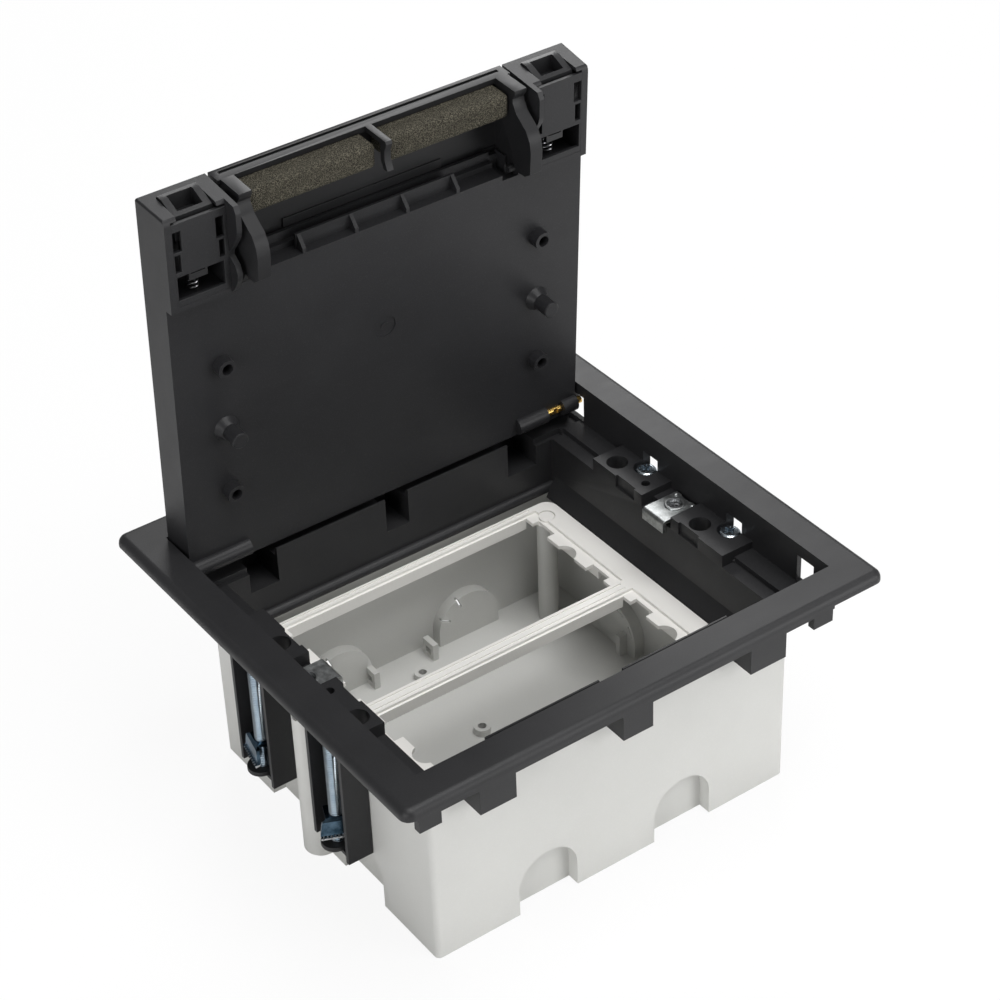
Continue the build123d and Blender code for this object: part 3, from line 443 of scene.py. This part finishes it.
class Bench:
    """Modelling calls that every sub-assembly shares, in millimetres and degrees."""

    smooth_deg = 32.0
    metal_deg = 40.0
    bevel_deg = 38.0
    flat_weight = 100
    merge_mm = 0.001
    cad_merge_mm = 0.004
    cad_flat_deg = 0.6
    coil_steps = 20

    @staticmethod
    def pick(piece: Piece) -> Piece:
        """Make a piece the only selected and the active one."""
        bpy.ops.object.select_all(action="DESELECT")
        piece.select_set(True)
        bpy.context.view_layer.objects.active = piece
        return piece

    @staticmethod
    @contextmanager
    def editing(piece: Piece, kind: str = "VERT", test: Callable[[Vector], bool] | None = None) -> Iterator[None]:
        """Edit mode on a piece with all of it selected, or only what a test picks.

        Args:
            piece: mesh object.
            kind: what the selection counts, "VERT" or "EDGE", if there is a test.
            test: whether a corner at this place is picked, or None for everything.

        Yields:
            Nothing; object mode comes back at the end.
        """
        Bench.pick(piece)
        if test is None:
            bpy.ops.object.mode_set(mode="EDIT")
            bpy.ops.mesh.select_all(action="SELECT")
        else:
            corners = piece.data.vertices
            for corner in corners:
                corner.select = test(corner.co)
            for item in (*piece.data.edges, *piece.data.polygons):
                item.select = all(corners[index].select for index in item.vertices)
            bpy.ops.object.mode_set(mode="EDIT")
            bpy.ops.mesh.select_mode(type=kind)
        yield
        bpy.ops.object.mode_set(mode="OBJECT")

    @staticmethod
    def apply(piece: Piece, kind: str, **settings: object) -> Piece:
        """Add a modifier and apply it.

        Args:
            piece: mesh object.
            kind: modifier type.
            settings: modifier properties.

        Returns:
            The same piece.
        """
        Bench.pick(piece)
        modifier = piece.modifiers.new(kind.lower(), kind)
        for key, value in settings.items():
            setattr(modifier, key, value)
        bpy.ops.object.modifier_apply(modifier=modifier.name)
        return piece

    @staticmethod
    def even(piece: Piece) -> Piece:
        """Smooth by angle with the large faces kept flat."""
        Bench.pick(piece)
        bpy.ops.object.shade_smooth_by_angle(angle=math.radians(Bench.smooth_deg))
        return Bench.apply(piece, "WEIGHTED_NORMAL", weight=Bench.flat_weight, keep_sharp=True,
                           use_face_influence=False)

    @staticmethod
    def settle(piece: Piece) -> Piece:
        """Put the object's place into its mesh."""
        Bench.pick(piece)
        bpy.ops.object.transform_apply(location=True, rotation=True, scale=True)
        return piece

    @staticmethod
    def place(piece: Piece, shift: Triple, turn: Triple = (0.0, 0.0, 0.0)) -> Piece:
        """Turn a piece about the origin, then move it."""
        piece.rotation_euler = radians(turn)
        piece.location = Vector(shift) * MM
        return Bench.settle(piece)

    @staticmethod
    def tidy(piece: Piece, smooth_deg: float = metal_deg) -> Piece:
        """Merge doubles, turn the faces outwards and smooth by angle."""
        with Bench.editing(piece):
            bpy.ops.mesh.remove_doubles(threshold=Bench.merge_mm * MM)
            bpy.ops.mesh.normals_make_consistent(inside=False)
        bpy.ops.object.shade_smooth_by_angle(angle=math.radians(smooth_deg))
        return piece

    @staticmethod
    def _rod(name: str, radius: float, height: float, centre: Triple, sides: int, turn: Triple) -> Piece:
        """Cylinder whose place isn't in its mesh yet."""
        bpy.ops.mesh.primitive_cylinder_add(vertices=sides, radius=radius * MM, depth=height * MM,
                                            location=Vector(centre) * MM, rotation=radians(turn))
        bpy.context.object.name = name
        return bpy.context.object

    @staticmethod
    def cylinder(name: str, radius: float, height: float, centre: Triple, sides: int = 32) -> Piece:
        """Upright cylinder."""
        return Bench.settle(Bench._rod(name, radius, height, centre, sides, (0.0, 0.0, 0.0)))

    @staticmethod
    def rods(name: str, radius: float, length: float, spots: list[Triple], turn: Triple, sides: int) -> Piece:
        """Several equal rods as one piece.

        Args:
            name: piece name.
            radius: rod radius.
            length: rod length.
            spots: centres.
            turn: rotation.
            sides: facets of each rod.

        Returns:
            The joined rods.
        """
        return Bench.join(name, [Bench._rod(f"{name}_{index}", radius, length, spot, sides, turn)
                                 for index, spot in enumerate(spots)])

    @staticmethod
    def cuboid(name: str, size: Triple, centre: Triple) -> Piece:
        """Box of a size at a centre."""
        bpy.ops.mesh.primitive_cube_add(size=1.0, location=Vector(centre) * MM, scale=Vector(size) * MM)
        bpy.context.object.name = name
        return Bench.settle(bpy.context.object)

    @staticmethod
    def slab(name: str, side: Side, xs: Span, ys: Span, vs: Span) -> Piece:
        """Box between two distances from the middle, two y and two depths."""
        return Bench.cuboid(name, (xs[1] - xs[0], ys[1] - ys[0], vs[1] - vs[0]),
                            (side.out(xs[0] + xs[1]) / 2, (ys[0] + ys[1]) / 2, TOP_Z - (vs[0] + vs[1]) / 2))

    @staticmethod
    def coil(name: str, radius: float, section: float, pitch: float, turns: int, sides: int,
             flat: float = 1.0) -> Piece:
        """Helix of a small polygon around the z axis, rising from the origin, with closed ends.

        Args:
            name: piece name.
            radius: distance of the polygon's centre from the axis.
            section: polygon's circumradius.
            pitch: rise of one turn.
            turns: number of turns.
            sides: polygon's corners, one of them pointing outwards.
            flat: share that the polygon is squeezed to along the radius.

        Returns:
            The closed coil.
        """
        quarter = math.pi / 2
        bpy.ops.mesh.primitive_circle_add(vertices=sides, radius=section * MM, fill_type="NOTHING",
                                          location=(radius * MM, 0, 0), rotation=(quarter, quarter, 0),
                                          scale=(1.0, flat, 1.0))
        bpy.context.object.name = name
        wire = Bench.settle(bpy.context.object)
        Bench.apply(wire, "SCREW", axis="Z", angle=2 * math.pi, screw_offset=pitch * MM, iterations=turns,
                    steps=Bench.coil_steps, render_steps=Bench.coil_steps, use_normal_calculate=True)
        with Bench.editing(wire):
            bpy.ops.mesh.fill_holes(sides=sides)
        return Bench.tidy(wire)

    @staticmethod
    def cut(piece: Piece, tool: Piece, how: str = "DIFFERENCE") -> Piece:
        """Boolean with a tool that is then thrown away."""
        Bench.apply(piece, "BOOLEAN", object=tool, operation=how, solver="EXACT")
        bpy.data.objects.remove(tool)
        return piece

    @staticmethod
    def unite(piece: Piece, other: Piece) -> Piece:
        """Add another piece's form to this one."""
        return Bench.cut(piece, other, "UNION")

    @staticmethod
    def rounded(piece: Piece, width_mm: float) -> Piece:
        """Round a tool's sharp edges."""
        return Bench.apply(piece, "BEVEL", width=width_mm * MM, segments=3, limit_method="ANGLE")

    @staticmethod
    def join(name: str, parts: list[Piece]) -> Piece:
        """Join pieces into one mesh."""
        Bench.pick(parts[0])
        for part in parts:
            part.select_set(True)
        bpy.ops.object.join()
        parts[0].name = name
        return Bench.settle(parts[0])

    @staticmethod
    def twin(piece: Piece, name: str) -> Piece:
        """Copy of a piece with its own mesh."""
        twin = piece.copy()
        twin.data = piece.data.copy()
        twin.name = name
        bpy.context.scene.collection.objects.link(twin)
        return twin

    @staticmethod
    def dress(piece: Piece, material: Material) -> None:
        """Give a piece one material."""
        piece.data.materials.clear()
        piece.data.materials.append(material)

    @staticmethod
    def softened(node: str, width_mm: float) -> Piece:
        """Merged copy of a CAD node with its sharp edges broken.

        Args:
            node: CAD node's name.
            width_mm: width of the broken edge.

        Returns:
            The new piece, named after the node.
        """
        twin = Bench.twin(bpy.data.objects[node], f"{node}_moulding")
        twin.parent = None
        for key in list(twin.keys()):
            del twin[key]
        with Bench.editing(twin):
            bpy.ops.mesh.remove_doubles(threshold=Bench.cad_merge_mm * MM)
            bpy.ops.mesh.dissolve_limited(angle_limit=math.radians(Bench.cad_flat_deg))
        Bench.apply(twin, "BEVEL", width=width_mm * MM, segments=2, limit_method="ANGLE",
                    angle_limit=math.radians(Bench.bevel_deg), use_clamp_overlap=True, harden_normals=False)
        return Bench.even(twin)


def report(piece: Piece, body: str, nodes: tuple[str, ...]) -> None:
    """Ride a piece on its body and log it.

    Args:
        piece: finished piece.
        body: CAD body that it rides on.
        nodes: CAD nodes that it stands for.
    """
    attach(piece, body)
    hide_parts(*nodes)
    LOG.info("%s: %d faces on %s", piece.name, len(piece.data.polygons), body)


@dataclass
class LidPose:
    """How the lid stands open: the turn about the hinge line from the closed drawing."""

    hinge_y: float = 71.4
    hinge_z: float = 89.68
    open_deg: float = 86.6

    def matrix(self) -> Matrix:
        """Turn from the closed place to the open one, in metres."""
        centre = Vector((0, self.hinge_y, self.hinge_z)) * MM
        turn = Matrix.Rotation(math.radians(-self.open_deg), 4, "X")
        return Matrix.Translation(centre) @ turn @ Matrix.Translation(-centre)

    def open(self, piece: Piece) -> Piece:
        """Turn a piece drawn closed into the open pose."""
        piece.data.transform(self.matrix())
        piece.data.update()
        return piece


# sub-assemblies


@dataclass
class Mouldings:
    """Rigid plastic mouldings that keep their CAD shape and get broken edges."""

    finishes: Finishes
    pose: LidPose = field(default_factory=LidPose)
    foot_x: Span = (67.8, 73.0)
    foot_y: Span = (-62.0, 62.0)
    foot_v: Span = (35.0, 43.4)
    foot_toe: float = 0.5
    sill_x: Span = (49.5, 58.4)
    sill_y: Span = (-48.0, -45.2)
    sill_v: Span = (2.0, 2.6)
    groove: Triple = (112.0, 1.6, 1.5)
    groove_y: float = -77.4
    groove_v: float = 2.3
    cheek_x: Span = (53.9, 54.6)
    cheek_y: Span = (-47.4, -40.0)
    cheek_v: Span = (3.6, 9.5)
    peg_xy: Span = (66.0, 16.0)
    peg_r: float = 3.1
    peg_v: Span = (14.6, 22.6)
    peg_round: float = 0.45
    ring: Span = (2.1, 0.8)
    core: Span = (1.3, 1.2)
    window_xy: Span = (86.0, -1.8)
    window_r: float = 2.3
    window_v: float = 27.5
    window_deep: float = 5.4
    window_tall: float = 9.0

    def build(self) -> None:
        """Copy, break the edges, shape and dress every moulding."""
        use = self.finishes
        rows = [("box_shell", "base", "box_grey", use.box_grey, 0.35, self._window),
                ("module_frame", "base", "frame_white", use.frame_white, 0.25, None),
                ("floor_frame", "base", "frame_black", use.frame_black, 0.3, self._foot),
                ("screw_feet", "base", "frame_black", use.frame_black, 0.3, None),
                ("module_screws", "base", "frame_white", use.frame_white, 0.2, None),
                ("lid_panel", "lid", "lid_black", use.lid_black, 0.25, self._inside),
                # the cable flap wears the darker copy of the lid's black, which paints its shade
                ("cable_flap", "flap", "lid_black", use.flap_black_shaded, 0.3, self._sill)]
        for side in Side:
            word = side.word
            rows.append((f"latch_cover_{word}", "lid", "lid_black", use.lid_black, 0.2, None))
            rows.append((f"latch_button_{word}", f"latch_{word}", "latch_black", use.latch_black, 0.25, None))
        for node, body, slot, material, width, shape in rows:
            piece = Bench.softened(node, width)
            if shape is not None:
                shape(piece)
            Bench.dress(piece, material)
            report(piece, body, (node,))

    def _foot(self, frame: Piece) -> None:
        """Lead the shaft's end walls down to the module frame's edge with a sloping foot."""
        (inner, outer), (top_v, _) = self.foot_x, self.foot_v
        for side in Side:
            foot = Bench.slab("foot", side, self.foot_x, self.foot_y, self.foot_v)
            with Bench.editing(foot, "VERT", lambda co: abs(co.x) < (inner + NEAR) * MM
                               and co.z > (TOP_Z - top_v - NEAR) * MM):
                bpy.ops.transform.translate(value=(side.out(outer - inner - self.foot_toe) * MM, 0.0, 0.0))
            Bench.unite(frame, foot)

    def _sill(self, flap: Piece) -> None:
        """Short sills behind the flap's arms, and the groove along its tip."""
        for side in Side:
            sill = Bench.slab("sill", side, self.sill_x, self.sill_y, self.sill_v)
            Bench.unite(flap, self.pose.open(sill))
        groove = Bench.cuboid("groove", self.groove, (0.0, self.groove_y, TOP_Z - self.groove_v))
        Bench.cut(flap, self.pose.open(groove))

    def _inside(self, lid: Piece) -> None:
        """Cheeks beside the flap's arms and the round, ringed tips of the two pegs."""
        x, y = self.peg_xy
        v0, v1 = self.peg_v
        for side in Side:
            cheek = Bench.slab("cheek", side, self.cheek_x, self.cheek_y, self.cheek_v)
            Bench.unite(lid, self.pose.open(cheek))
            end = (side.out(x), y, TOP_Z - v1)
            tip = Bench.cylinder("peg_tip", self.peg_r, v1 - v0, (side.out(x), y, TOP_Z - (v0 + v1) / 2), sides=40)
            Bench.rounded(tip, self.peg_round)
            ring = Bench.cylinder("peg_ring", *self.ring, end)
            core = Bench.cylinder("peg_core", *self.core, end, sides=24)
            Bench.cut(tip, Bench.cut(ring, core))
            Bench.unite(lid, self.pose.open(tip))

    def _window(self, shell: Piece) -> None:
        """Open the head of each half-round column so that the zinc nut shows."""
        x, y = self.window_xy
        foot, deep, tall = TOP_Z - self.window_v, self.window_deep, self.window_tall
        for side in Side:
            arch = Bench.rods("window", self.window_r, deep, [(side.out(x), y, foot)], (0.0, 90.0, 0.0), sides=24)
            Bench.cut(shell, arch)
            Bench.cut(shell, Bench.cuboid("window", (deep, 2 * self.window_r, tall),
                                          (side.out(x), y, foot + tall / 2)))


@dataclass
class SheetMetal:
    """Zinc plated brackets, column nuts and the brass pins."""

    finishes: Finishes
    edge_mm: float = 0.18
    hole_xy: Span = (79.6, -1.8)
    hole_r: float = 3.0
    plate_v: float = 15.0
    drill_mm: float = 6.0
    collar: Span = (3.9, 0.7)
    collar_round: float = 0.35
    hollow_x: float = 91.6
    hollow_r: float = 7.0
    dimple: Span = (0.95, 1.1)
    dimple_round: float = 0.4
    dimple_xy: Span = (84.0, 4.6)

    def build(self) -> None:
        """Shape the brackets and dress the nuts and pins in place."""
        for side in Side:
            bracket = Bench.softened(f"bracket_{side.word}", self.edge_mm)
            self._stamp(bracket, side)
            Bench.dress(bracket, self.finishes.zinc)
            report(bracket, "base", (f"bracket_{side.word}",))
            Bench.dress(bpy.data.objects[f"column_nut_{side.word}"], self.finishes.zinc)
            Bench.dress(bpy.data.objects[f"hinge_pin_{side.word}"], self.finishes.brass)

    def _stamp(self, bracket: Piece, side: Side) -> None:
        """Collar, screw hole, two dimples and the hollow back edge of one bracket."""
        x, y, z = side.out(self.hole_xy[0]), self.hole_xy[1], TOP_Z - self.plate_v
        radius, rise = self.collar
        collar = Bench.cylinder("collar", radius, 2 * rise, (x, y, z), sides=40)
        Bench.unite(bracket, Bench.rounded(collar, self.collar_round))
        Bench.cut(bracket, Bench.cylinder("screw_hole", self.hole_r, self.drill_mm, (x, y, z), sides=40))
        hollow = (side.out(self.hollow_x), y, z)
        Bench.cut(bracket, Bench.cylinder("back_hollow", self.hollow_r, self.drill_mm, hollow, sides=48))
        spots = [(side.out(self.dimple_xy[0]), y + step * self.dimple_xy[1], z) for step in (-1, 1)]
        dimples = Bench.rods("dimples", *self.dimple, spots, (0.0, 0.0, 0.0), sides=20)
        Bench.unite(bracket, Bench.rounded(dimples, self.dimple_round))
        Bench.even(bracket)


@dataclass
class Claws:
    """Toothed sheet claws: nut plate, flared web and bright serrated lip, each turned on its screw."""

    finishes: Finishes
    screw_x: float = 84.3
    plate_u: Span = (-3.8, 2.6)
    plate_half: float = 4.0
    plate_v: float = 59.8
    sheet_t: float = 1.3
    bore_r: float = 2.5
    bore_mm: float = 3.0
    folds: tuple[Triple, ...] = ((3.25, 60.4, 5.3), (3.4, 61.6, 5.7), (3.5, 65.2, 6.2), (3.9, 66.3, 6.3),
                                 (5.1, 66.7, 6.3))
    teeth: int = 9
    tooth_pitch: float = 1.32
    tooth_r: float = 0.45
    tooth_mm: float = 1.8
    headings: tuple[float, ...] = (246.0, 168.0, 0.0, 0.0)

    def build(self) -> None:
        """Model one claw and set a turned copy on each screw."""
        pattern = self._pattern()
        for corner, heading in zip(Corner, self.headings):
            side, y = corner.value
            claw = Bench.twin(pattern, f"claw_{corner.word}_bent")
            Bench.place(claw, (side * self.screw_x, y, 0.0), (0.0, 0.0, heading))
            Bench.dress(claw, self.finishes.claw)
            report(claw, f"claw_{corner.word}", (f"claw_{corner.word}",))
        bpy.data.objects.remove(pattern)

    def _pattern(self) -> Piece:
        """Claw that points along x, drawn from a flat sheet that is bent edge by edge."""
        u0, u1 = self.plate_u
        plate_z = TOP_Z - self.plate_v
        bpy.ops.mesh.primitive_plane_add(size=1.0, location=Vector(((u0 + u1) / 2, 0.0, plate_z)) * MM)
        claw = bpy.context.object
        claw.scale = Vector((u1 - u0, 2 * self.plate_half, 1.0)) * MM
        Bench.settle(claw)
        last = (u1, self.plate_v, self.plate_half)
        with Bench.editing(claw, "EDGE", lambda co: co.x > (u1 - NEAR) * MM):
            for fold in self.folds:
                bpy.ops.mesh.extrude_region_move(TRANSFORM_OT_translate={
                    "value": ((fold[0] - last[0]) * MM, 0.0, (last[1] - fold[1]) * MM)})
                bpy.ops.transform.resize(value=(1.0, fold[2] / last[2], 1.0), center_override=(0.0, 0.0, 0.0))
                last = fold
        Bench.apply(claw, "SOLIDIFY", thickness=self.sheet_t * MM, offset=0.0, use_even_offset=True)
        Bench.cut(claw, Bench.cylinder("claw_bore", self.bore_r, self.bore_mm, (0.0, 0.0, plate_z)))
        reach, lip_v, _ = last
        spots = [(reach, (index - (self.teeth - 1) / 2) * self.tooth_pitch, TOP_Z - lip_v + self.sheet_t / 2)
                 for index in range(self.teeth)]
        Bench.cut(claw, Bench.rods("claw_teeth", self.tooth_r, self.tooth_mm, spots, (0.0, 90.0, 0.0), sides=4))
        return Bench.tidy(claw)


@dataclass(frozen=True)
class ScrewSize:
    """Measures of one kind of screw."""

    top_v: float
    end_v: float
    head_r: float
    head_h: float
    thread_r: float


@dataclass(frozen=True)
class SpringSize:
    """Measures of one kind of spring: free length, radius and how much its slide shortens it."""

    length: float
    radius: float
    travel: float


@dataclass
class Fasteners:
    """Claw screws with rolled threads, bracket screws and coil springs."""

    finishes: Finishes
    pose: LidPose = field(default_factory=LidPose)
    claw_x: float = 84.3
    claw_screw: ScrewSize = ScrewSize(top_v=13.8, end_v=72.4, head_r=4.3, head_h=2.4, thread_r=2.3)
    bracket_xy: Span = (79.6, -1.8)
    bracket_screw: ScrewSize = ScrewSize(top_v=15.9, end_v=27.0, head_r=2.8, head_h=1.2, thread_r=1.9)
    pitch: float = 0.8
    thread_section: float = 0.455
    thread_flat: float = 0.7
    thread_gap: float = 0.5
    thread_spare: float = 1.4
    thread_deep: float = 0.32
    core_deep: float = 0.42
    core_lap: float = 0.4
    dome: Span = (0.9, 0.7)
    head_deg: float = 30.0
    cross: Triple = (1.1, 0.8, 2.2)
    mark: Triple = (1.2, 0.3, 0.7)
    latch_spring: SpringSize = SpringSize(length=10.6, radius=2.0, travel=3.5)
    latch_start: Triple = (72.4, -53.4, 9.6)
    pin_spring: SpringSize = SpringSize(length=7.0, radius=1.1, travel=3.0)
    pin_start: Triple = (69.0, 71.5, 13.1)
    wire_r: float = 0.3
    spring_turns: int = 6

    def build(self) -> None:
        """Make every screw and spring."""
        for corner in Corner:
            side, y = corner.value
            node = f"claw_screw_{corner.word}"
            self._screw(node, node, (side * self.claw_x, y), self.claw_screw,
                        self.finishes.zinc_blue)
        x, y = self.bracket_xy
        for side in Side:
            self._screw(f"bracket_screw_{side.word}", "base", (side.out(x), y), self.bracket_screw,
                        self.finishes.wire)
            self._spring(f"latch_spring_{side.word}", side, self.latch_start,
                         (-90.0, 0.0, 0.0), self.latch_spring)
            self._spring(f"pin_spring_{side.word}", side, self.pin_start,
                         (0.0, -90.0 * side.value, 0.0), self.pin_spring)

    def _screw(self, node: str, body: str, spot: Span, size: ScrewSize, material: Material) -> None:
        """One screw: domed head with a cross recess, core and thread.

        Args:
            node: CAD node that it stands for.
            body: CAD body that it rides on.
            spot: x and y of its axis.
            size: its measures.
            material: finish.
        """
        top, end = TOP_Z - size.top_v, TOP_Z - size.end_v
        under = top - size.head_h
        head = Bench.place(self._head(size.head_r, size.head_h), (0.0, 0.0, under))
        core = Bench.cylinder("screw_core", size.thread_r - self.core_deep, under - end + self.core_lap,
                              (0.0, 0.0, (under + end) / 2 + self.core_lap / 2), sides=24)
        turns = int((under - end - self.thread_spare) / self.pitch)
        thread = Bench.coil("screw_thread", size.thread_r - self.thread_deep, self.thread_section, self.pitch,
                            turns, sides=3, flat=self.thread_flat)
        Bench.place(thread, (0.0, 0.0, end + self.thread_gap))
        screw = Bench.join(f"{node}_turned", [head, core, thread])
        Bench.place(screw, (*spot, 0.0))
        Bench.dress(screw, material)
        report(screw, body, (node,))
        LOG.info("%s stands %.1f mm deep, head top at %.1f", node, top - end, top)

    def _head(self, radius: float, height: float) -> Piece:
        """Pan head on the origin with a cross recess and its four fine marks."""
        rim, drop = self.dome
        head = Bench.cylinder("screw_head", radius, height, (0.0, 0.0, height / 2), sides=40)
        with Bench.editing(head, "EDGE", lambda co: co.z > height * rim * MM):
            bpy.ops.mesh.bevel(offset=height * drop * MM, segments=5)
        for turn, (share, width, deep) in ((0.0, self.cross), (90.0, self.cross), (45.0, self.mark),
                                           (135.0, self.mark)):
            arm = Bench.cuboid("cross_arm", (radius * share, width, deep), (0.0, 0.0, height))
            Bench.cut(head, Bench.place(arm, (0.0, 0.0, 0.0), (0.0, 0.0, turn)))
        return Bench.tidy(head, self.head_deg)

    def _spring(self, node: str, side: Side, start: Triple, turn: Triple, size: SpringSize) -> None:
        """One coil spring, drawn closed and turned open.

        Args:
            node: CAD node that it stands for.
            side: which half it belongs to.
            start: moving end as distance from the middle, y and depth.
            turn: rotation of the upright coil.
            size: its measures.
        """
        wire, turns = self.wire_r, self.spring_turns
        coil = Bench.coil(f"{node}_coil", size.radius - wire, wire, (size.length - 2 * wire) / turns, turns,
                          sides=8)
        Bench.place(coil, (0.0, 0.0, wire))
        near = (side.out(start[0]), start[1], TOP_Z - start[2])
        Bench.place(coil, near, turn)
        self.pose.open(coil)
        Bench.dress(coil, self.finishes.wire)
        report(coil, "lid", (node,))
        opened = self.pose.matrix()
        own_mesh(coil)


@dataclass
class FoamBars:
    """Two foam bars that seal the cable outlet."""

    finishes: Finishes
    pose: LidPose = field(default_factory=LidPose)
    xs: Span = (2.6, 52.1)
    ys: Span = (-75.2, -66.0)
    vs: Span = (2.3, 14.7)
    crown_mm: float = 1.6
    voxel_mm: float = 0.42
    pore_mm: float = 0.6
    pore_depth_mm: float = 0.3
    pore_level: float = 0.66

    def build(self) -> None:
        """Make each bar from a rounded block with a slightly uneven skin."""
        for side in Side:
            bar = self._bar(side)
            Bench.dress(bar, self.finishes.foam)
            report(bar, "flap", (f"foam_strip_{side.word}",))

    def _bar(self, side: Side) -> Piece:
        """One bar, drawn closed and turned open."""
        bar = Bench.slab(f"foam_bar_{side.word}", side, self.xs, self.ys, self.vs)
        Bench.apply(bar, "BEVEL", width=self.crown_mm * MM, segments=4, limit_method="NONE")
        Bench.apply(bar, "REMESH", mode="VOXEL", voxel_size=self.voxel_mm * MM)
        pores = bpy.data.textures.new(f"pores_{side.word}", "CLOUDS")
        pores.noise_scale = self.pore_mm * MM
        Bench.apply(bar, "DISPLACE", texture=pores, strength=self.pore_depth_mm * MM,
                    mid_level=self.pore_level, texture_coords="LOCAL")
        bpy.data.textures.remove(pores)
        Bench.pick(bar)
        bpy.ops.object.shade_smooth()
        return self.pose.open(bar)


@dataclass(frozen=True)
class Lamp:
    """One square soft lamp, in metres and watts, aimed at a height on the box's axis."""

    name: str
    place: Triple
    aim_z: float
    size: float
    power: float

    def hang(self) -> None:
        """Put the lamp into the scene."""
        lamp = bpy.data.lights.new(self.name, "AREA")
        lamp.shape, lamp.size, lamp.energy = "SQUARE", self.size, self.power
        holder = bpy.data.objects.new(self.name, lamp)
        bpy.context.scene.collection.objects.link(holder)
        holder.location = self.place
        aim = Vector((0.0, 0.0, self.aim_z)) - Vector(self.place)
        holder.rotation_euler = aim.to_track_quat("-Z", "Y").to_euler()


@dataclass
class Studio:
    """White floor, soft lamps and the camera at the photograph's viewpoint."""

    lamps: tuple[Lamp, ...] = (Lamp("top_lamp", (0.1, -0.3, 1.3), 0.1, 0.8, 12.5),
                               Lamp("front_lamp", (0.75, -1.15, 0.5), 0.06, 0.8, 8.6),
                               Lamp("back_lamp", (0.75, 1.05, 0.85), 0.1, 0.6, 7.6),
                               Lamp("left_lamp", (-1.2, -0.5, 0.45), 0.06, 0.5, 5.6))
    floor_m: float = 8.0
    floor_z_m: float = -0.0002
    floor_glow: float = 0.9
    sky: float = 0.22
    eye_mm: Triple = (-420.12, -617.31, 674.15)
    turn_deg: Triple = (53.2368, 1.6906, -36.0228)
    lens_mm: float = 97.28
    sensor_mm: float = 36.0
    shift: Span = (-0.0115, 0.00625)
    clip_m: Span = (0.05, 20.0)

    def build(self) -> None:
        """Set up floor, world, lamps and camera."""
        self._floor()
        self._world()
        for lamp in self.lamps:
            lamp.hang()
        self._camera()

    def _floor(self) -> None:
        """White floor that stays white to the camera and keeps a soft shadow."""
        bpy.ops.mesh.primitive_plane_add(size=self.floor_m, location=(0, 0, self.floor_z_m))
        floor = bpy.context.object
        floor.name = "floor"
        s = Sheet("floor_white")
        s.set(Base_Color=(0.9, 0.9, 0.9), Roughness=0.9, Specular_IOR_Level=0.1)
        path = s.add("ShaderNodeLightPath", {}, {}, "Is Camera Ray")
        glow = s.add("ShaderNodeEmission", {}, {"Color": (1, 1, 1, 1), "Strength": 1.0})
        lit = Wire(s, s.shader.outputs[0])
        mixed = s.add("ShaderNodeMixShader", {}, {0: path * self.floor_glow, 1: lit, 2: glow})
        s.tree.links.new(mixed.socket, s.tree.nodes["Material Output"].inputs["Surface"])
        Bench.dress(floor, s.material)

    def _world(self) -> None:
        """Even white surroundings."""
        world = bpy.data.worlds.new("studio")
        bpy.context.scene.world = world
        world.use_nodes = True
        ground = world.node_tree.nodes["Background"]
        ground.inputs["Color"].default_value = (1, 1, 1, 1)
        ground.inputs["Strength"].default_value = self.sky

    def _camera(self) -> None:
        """Camera at the photograph's viewpoint."""
        camera = bpy.data.cameras.new("camera")
        camera.lens, camera.sensor_width = self.lens_mm, self.sensor_mm
        camera.shift_x, camera.shift_y = self.shift
        camera.clip_start, camera.clip_end = self.clip_m
        holder = bpy.data.objects.new("camera", camera)
        bpy.context.scene.collection.objects.link(holder)
        holder.location = Vector(self.eye_mm) * MM
        holder.rotation_euler = radians(self.turn_deg)
        bpy.context.scene.camera = holder


def main() -> None:
    """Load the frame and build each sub-assembly in order."""
    logging.basicConfig(level=logging.INFO, format="%(name)s %(message)s")
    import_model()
    bpy.context.scene.view_settings.view_transform = "Standard"
    finishes = Finishes()
    Mouldings(finishes).build()
    SheetMetal(finishes).build()
    Claws(finishes).build()
    Fasteners(finishes).build()
    FoamBars(finishes).build()
    Studio().build()


if __name__ == "__main__":
    main()
